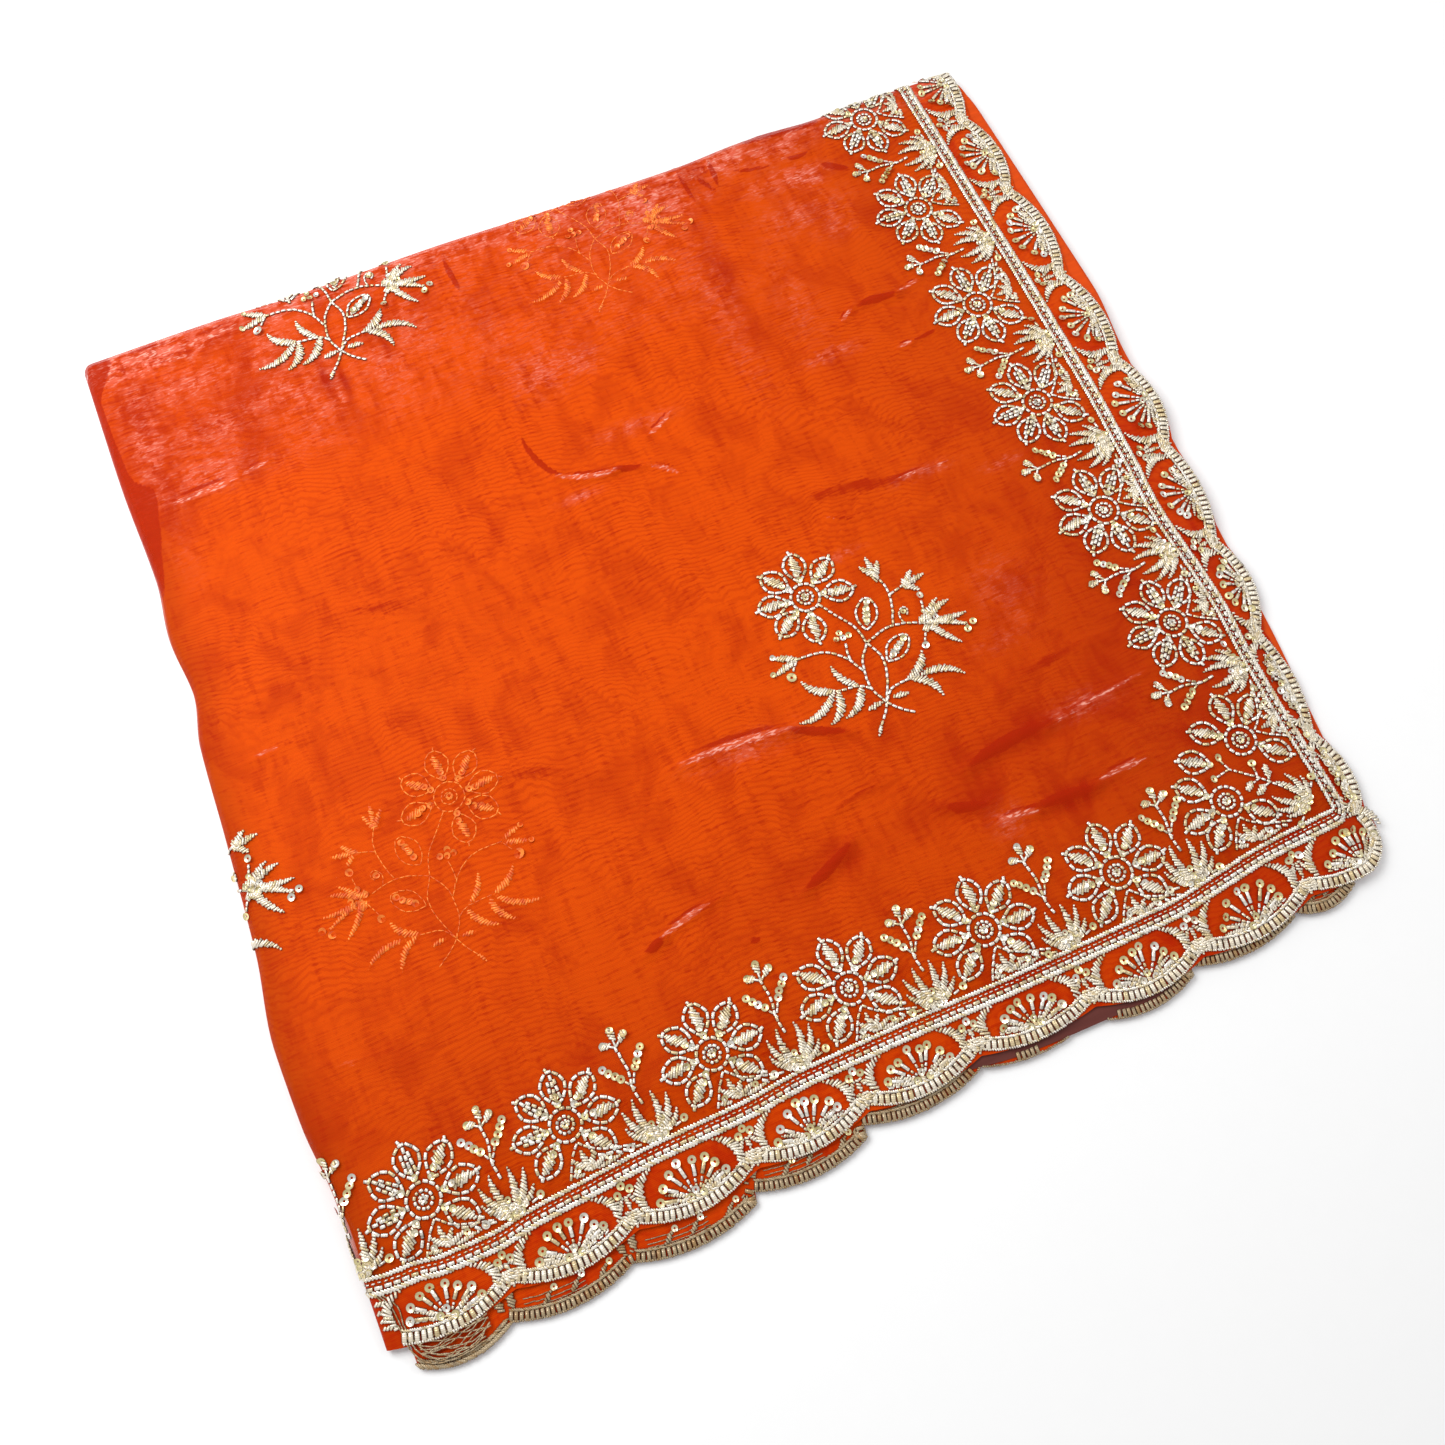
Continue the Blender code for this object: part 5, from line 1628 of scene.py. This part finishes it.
class SariStitching(bpy.types.PropertyGroup):
    silver: colour_property("Silver", "Colour of the lightest thread and beads", (0.98, 0.92, 0.82))
    gold: colour_property("Gold", "Colour of the warmest thread", (0.74, 0.58, 0.32))
    satin: colour_property("Satin", "Colour of the satin stitch", (0.95, 0.86, 0.70))
    # Painted shade: the lower edging's stitches are coloured darker than the satin above them.
    dim: colour_property("Dim satin", "Colour of the lower edging's stitches", (0.46, 0.35, 0.21))
    dim_gold: colour_property("Dim gold", "Warmest colour of the lower edging's stitches", (0.37, 0.22, 0.09))
    sequin: colour_property("Sequins", "Colour of most sequins", (0.92, 0.80, 0.42))
    pale_sequin: colour_property("Pale sequins", "Colour of the palest sequins", (1.0, 0.97, 0.90))
    under: colour_property("Under", "Colour of the stitching that shines through", (0.93, 0.24, 0.025))
    thread_width: length_property("Thread width", "Width of a stitch", DASH_WIDTH * MM)
    sequin_radius: length_property("Sequin radius", "Radius of a common sequin", SEQUIN_RADIUS * MM)
    seed: IntProperty(name="Seed", description="Changes how uneven the stitches are", default=7, min=0)


class SariStage(bpy.types.PropertyGroup):
    floor_colour: colour_property("Floor", "Colour of the floor", (0.90, 0.90, 0.90))
    floor_size: length_property("Floor size", "Side of the floor", 4.0)
    key_power: power_property("Key light", "Power of the large light", 12.0)
    rim_power: power_property("Narrow light", "Power of the narrow light", 2.5)
    sky: factor_property("Sky", "Brightness all round", 0.62, 10.0)
    camera_place: FloatVectorProperty(
        name="Camera",
        description="Where the camera stands",
        default=(-0.12065, -0.2780, 0.6797),
        subtype="TRANSLATION",
        unit="LENGTH",
    )
    camera_turn: FloatVectorProperty(
        name="Camera turn",
        description="How the camera is turned",
        default=(math.radians(19.25), 0.0, math.radians(-24.18)),
        subtype="EULER",
        unit="ROTATION",
    )
    lens: FloatProperty(
        name="Lens", description="Focal length on a 36 mm sensor", default=32.4, unit="CAMERA"
    )


class PieceOperator:
    """What the operators share: the cloth, the stitching, its chance draws and the materials."""

    bl_options = {"REGISTER", "UNDO"}

    def execute(self, context):
        rng = np.random.default_rng(context.scene.sari_stitching.seed + self.seed_step)
        self.build(context.scene.sari_cloth, rng, sari_materials())
        return {"FINISHED"}


class SARI_OT_folded_layers(PieceOperator, bpy.types.Operator):
    """Adds the folded layers under the top cloth"""

    bl_idname = "sari.folded_layers"
    bl_label = "Folded layers"
    seed_step = 1

    def build(self, cloth, rng, materials):
        rings = stack_rings(cloth.layers)
        rows, columns, _ = rings.shape
        poles = np.stack([rings[0].mean(axis=0), rings[-1].mean(axis=0)])
        points = np.concatenate([rings.reshape(-1, 3), poles])
        level = np.arange(rows)[:, None, None] >= rows - len(STACK_TOP_SHARES)
        side = together(np.linspace(0, SIDE_RUN, columns), rings[..., 2] * MM * SIDE_STRETCH)
        uv = np.where(level, rings[..., :2] * MM, side)
        uv = np.concatenate([uv.reshape(-1, 2), poles[:, :2] * MM])
        masks = cloth_masks(points[:, 0], points[:, 1])
        faces = grid_quads(rows, columns, True), pole_triangles(rows, columns)
        obj = mesh_object("folded_layers", points, *faces, uv, masks, materials["layers"])
        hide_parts("folded_stack")


class SARI_OT_ground(PieceOperator, bpy.types.Operator):
    """Adds the sheer top cloth with its creases"""

    bl_idname = "sari.ground"
    bl_label = "Ground"
    seed_step = 2

    def build(self, cloth, rng, materials):
        count = round(GROUND_SIDE / cloth.cell)
        p, q = ground_pattern(count, count)
        looks = materials["ground"], "organza"
        obj = cloth_object("organza_ground", p, q, 0.0, cloth_rise, *looks, rests_on=["folded_layers"])
        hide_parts("top_cloth")


class SARI_OT_edgings(PieceOperator, bpy.types.Operator):
    """Adds the cloth of the near edging and of the end edging round the corner"""

    bl_idname = "sari.edgings"
    bl_label = "Edging cloths"
    seed_step = 3

    def build(self, cloth, rng, materials):
        def corner(p, q):
            return np.full_like(q, CORNER_X)

        for name, node, start, end in (
            ("long_edging_cloth", "long_edging", lambda p, q: cloth_ends(p, q)[0], corner),
            ("end_edging_cloth", "end_edging", corner, lambda p, q: station_of_y(cloth_ends(p, q)[1])),
        ):
            p, q = edging_pattern(start, end, *EDGING_GRID)
            looks, below = (materials["edging"], "zari_edging"), ["folded_layers", "lower_edging_cloth"]
            obj = cloth_object(name, p, q, 0.0, cloth_rise, *looks, rests_on=below)
            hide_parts(node)


class SARI_OT_lower_edging(PieceOperator, bpy.types.Operator):
    """Adds the scalloped edge of the width's lower half"""

    bl_idname = "sari.lower_edging"
    bl_label = "Lower edging"
    seed_step = 4

    def build(self, cloth, rng, materials):
        p, q = lower_pattern(*LOWER_GRID)
        looks, below = (materials["edging"], "zari_edging"), ["folded_layers"]
        obj = cloth_object("lower_edging_cloth", p, q, LOWER_DEPTH, no_rise, *looks, rests_on=below)
        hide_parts("lower_edging")
        first = LOWER_SCALLOPS[0]
        rim = ladder_rim(*lower_rim_line(first.end, LOWER_SCALLOPS[-1].end), *LOWER_LADDER)
        points, normals = lower_rim_line(first.start, first.end)
        for inset, width in ((1.0, 2.2), (3.2, 1.8)):
            rim.cord(points - normals * inset, normals, width, LOWER_CORD_PITCH)
        filling = lower_filling(rng)
        for motif in (rim, filling):
            motif.cut(lambda p, q: (q < shaded_edge(p)) | (p < SHADED_START) | (p > SHADED_END))
        # The lower edging's stitches take the satin darkened as painted shade.
        dim = dict.fromkeys(("thread", "satin"), materials["dim_satin"]) | {"sequin": materials["sequin"]}
        sew("lower_rim", rim, rng, dim, LOWER_DEPTH, no_rise)
        sew("lower", filling, rng, dim, LOWER_DEPTH, no_rise)
        # The shaded fold: a dark sheet whose shade is painted into its colour.
        columns, rows = SHADED_GRID
        p = np.broadcast_to(np.linspace(SHADED_START, SHADED_END, columns), (rows, columns))
        q = shaded_edge(p) + np.linspace(0, 1, rows)[:, None] * (SHADED_TOP - shaded_edge(p))
        looks, below = (materials["shaded"], "organza_layers"), ["lower_edging_cloth"]
        cloth_object("shaded_fold", p, q, SHADED_DEPTH, no_rise, *looks, rests_on=below)


class SARI_OT_cords(PieceOperator, bpy.types.Operator):
    """Adds the twisted cords at the head of the edgings and their ladder-stitched rim"""

    bl_idname = "sari.cords"
    bl_label = "Cords and rim"
    seed_step = 5

    def build(self, cloth, rng, materials):
        start, end = notch_stations()[[0, -1]]
        cords = cord_band(start - CORD_LEAD, end)
        cords.cut(on_cloth)
        sew("cord", cords, rng, materials)
        rim = ladder_rim(*along_edging(RIM_START, end, RIM_CORD_PITCH, rim_distance), *LADDER)
        for y in (-263, -267, -271, -274.5):
            rim.leaf((-294.5, y), (-288.5, y - 1.5), 2.2)
        rim.cut(on_cloth)
        sew("rim", rim, rng, materials)
        # The loose threads take the same darker satin.
        sew("loose", loose_threads(), rng, materials | {"thread": materials["dim_satin"]})


class SARI_OT_border(PieceOperator, bpy.types.Operator):
    """Adds the flowers and palmettes that grow from the edgings' cords"""

    bl_idname = "sari.border"
    bl_label = "Border flowers"
    seed_step = 6

    def build(self, cloth, rng, materials):
        border = Motif()
        filling = cord_leaves()
        for places, turn, filled in ((NEAR_FLOWERS, 0, ()), (END_FLOWERS, 90, END_BEADED)):
            for number, spot in enumerate(places):
                some = FIRST_BEADED if spot in NEAR_FLOWERS[:2] else filled[number % 2 :]
                tilt, size = rng.uniform(-5, 5), rng.uniform(0.97, 1.04)
                border.add(flower(BORDER_PETALS, 2, some), *spot, turn + tilt, size)
                border.add(filling, *spot, turn + rng.uniform(-2, 2))
        for spot, petals, turn in CORNER_FLOWERS:
            border.add(flower(petals), *spot)
            border.add(filling, *spot, turn)
        for x in NEAR_PALMETTES:
            self.add_palmette(border, x, float(curve(CORDS_NEAR, x)) + PALMETTE_FOOT, 0, rng)
        for y in END_PALMETTES:
            self.add_palmette(border, float(curve(CORDS_END, y)) - PALMETTE_FOOT, y, 90, rng)
        border.add(palmette(), *CORNER_PALMETTE, 45, 0.9)
        border.add(corner_stem(), *CORNER_PALMETTE)
        border.cut(on_cloth)
        sew("border", border, rng, materials)

    def add_palmette(self, border, x, y, turn, rng):
        border.add(palmette(rng.uniform(0.5, 1.4)), x, y, turn + rng.uniform(-4, 4), rng.uniform(0.94, 1.06))
        border.add(bud_stem(rng.uniform(45, 50)), x, y, turn + rng.uniform(-4, 4))


class SARI_OT_scallops(PieceOperator, bpy.types.Operator):
    """Adds the fans of beads in the scallops and the small sprigs between them"""

    bl_idname = "sari.scallops"
    bl_label = "Scallop fans"
    seed_step = 7

    def build(self, cloth, rng, materials):
        fans = Motif()
        notches = notch_stations()
        for start, end in zip(notches, notches[1:]):
            reach = float(edging_line(np.array((start + end) / 2))[4])
            fans.add(scallop_fan(start, end, rng, reach))
        for at in notches[1:-1]:
            fans.add(notch_sprig(at, float(edging_line(np.array(at))[4])))
        fans.warp(edge_point)
        fans.cut(on_cloth)
        sew("scallop", fans, rng, materials)


class SARI_OT_sprays(PieceOperator, bpy.types.Operator):
    """Adds the sprays on the ground, and those that shine through from the layer below"""

    bl_idname = "sari.sprays"
    bl_label = "Ground sprays"
    seed_step = 8

    def build(self, cloth, rng, materials):
        spray = ground_spray()
        top, under = Motif(), Motif()
        for motif, places in ((top, TOP_SPRAYS), (under, UNDER_SPRAYS)):
            for spot, turn, mirror in places:
                motif.add(spray, *spot, turn, mirror=mirror)
            motif.cut(on_cloth)
        for kind, share in ((under.dashes, UNDER_DASH_SHARE), (under.leaves, UNDER_LEAF_SHARE)):
            for rows in kind:
                rows[:, 4] *= share
        sew("spray", top, rng, materials)
        pale = dict.fromkeys(("thread", "satin", "sequin"), materials["under"])
        sew("under_spray", under, rng, pale, UNDER_DEPTH)


def add_area_light(name, place, turn, size, power):
    light = bpy.data.lights.new(name, "AREA")
    light.shape = "RECTANGLE"
    light.size, light.size_y = size
    light.energy = power
    add_object(name, light, location=place, rotation_euler=[math.radians(angle) for angle in turn])


class SARI_OT_stage(bpy.types.Operator):
    """Adds the floor, the lights and the camera"""

    bl_idname = "sari.stage"
    bl_label = "Stage"
    bl_options = {"REGISTER", "UNDO"}

    def execute(self, context):
        scene, stage = context.scene, context.scene.sari_stage
        side = np.linspace(-stage.floor_size / 2, stage.floor_size / 2, 9) / MM
        x, y = np.meshgrid(side, side)
        points = together(x, y, FLOOR_HEIGHT).reshape(-1, 3) * MM
        material, tree, shader = new_material("floor", Roughness=0.9)
        grain = noise(tree, object_place(tree), 90, detail=3)
        colour = blend_colours(tree, grain, stage.floor_colour, [part * 0.985 for part in stage.floor_colour])
        tree.links.new(colour, shader.inputs["Base Color"])
        mesh = bpy.data.meshes.new("floor")
        mesh.from_pydata(points.tolist(), [], grid_quads(*x.shape, False).tolist())
        mesh.materials.append(material)
        floor = add_object("floor", mesh)
        add_area_light("key", (-0.5, 0.5, 0.95), (-26, -26, 0), (0.7, 0.7), stage.key_power)
        add_area_light("narrow", (0.9, 0.1, 0.9), (0, 40, 0), (0.2, 1.0), stage.rim_power)
        scene.world = scene.world or bpy.data.worlds.new("world")
        scene.world.use_nodes = True
        sky = scene.world.node_tree.nodes["Background"]
        sky.inputs["Color"].default_value = (1.0, 1.0, 1.0, 1.0)
        sky.inputs["Strength"].default_value = stage.sky
        data = bpy.data.cameras.new("camera")
        data.lens, data.sensor_width, data.clip_start = stage.lens, 36.0, 0.01
        turned = {"location": stage.camera_place, "rotation_euler": stage.camera_turn}
        scene.camera = add_object("camera", data, **turned)
        scene.view_settings.view_transform = "Standard"
        return {"FINISHED"}


PIECES = (
    SARI_OT_folded_layers,
    SARI_OT_ground,
    SARI_OT_lower_edging,
    SARI_OT_edgings,
    SARI_OT_cords,
    SARI_OT_border,
    SARI_OT_scallops,
    SARI_OT_sprays,
    SARI_OT_stage,
)


class SARI_PT_panel(bpy.types.Panel):
    """Lists the sari's settings and the pieces that it is made of"""

    bl_idname = "SARI_PT_panel"
    bl_label = "Folded sari"
    bl_space_type = "VIEW_3D"
    bl_region_type = "UI"
    bl_category = "Sari"

    def draw(self, context):
        layout = self.layout
        for piece in PIECES:
            layout.operator(piece.bl_idname)
        for settings in (context.scene.sari_cloth, context.scene.sari_stitching, context.scene.sari_stage):
            box = layout.box()
            for key in settings.bl_rna.properties.keys():
                if key not in ("rna_type", "name"):
                    box.prop(settings, key)


SETTINGS = {"sari_cloth": SariCloth, "sari_stitching": SariStitching, "sari_stage": SariStage}


def register():
    for made in (*SETTINGS.values(), *PIECES, SARI_PT_panel):
        bpy.utils.register_class(made)
    for name, settings in SETTINGS.items():
        setattr(bpy.types.Scene, name, PointerProperty(type=settings))


def unregister():
    for name in SETTINGS:
        delattr(bpy.types.Scene, name)
    for made in reversed((*SETTINGS.values(), *PIECES, SARI_PT_panel)):
        bpy.utils.unregister_class(made)


def main():
    register()
    for piece in PIECES:
        group, name = piece.bl_idname.split(".")
        getattr(getattr(bpy.ops, group), name)()


if __name__ == "__main__":
    main()
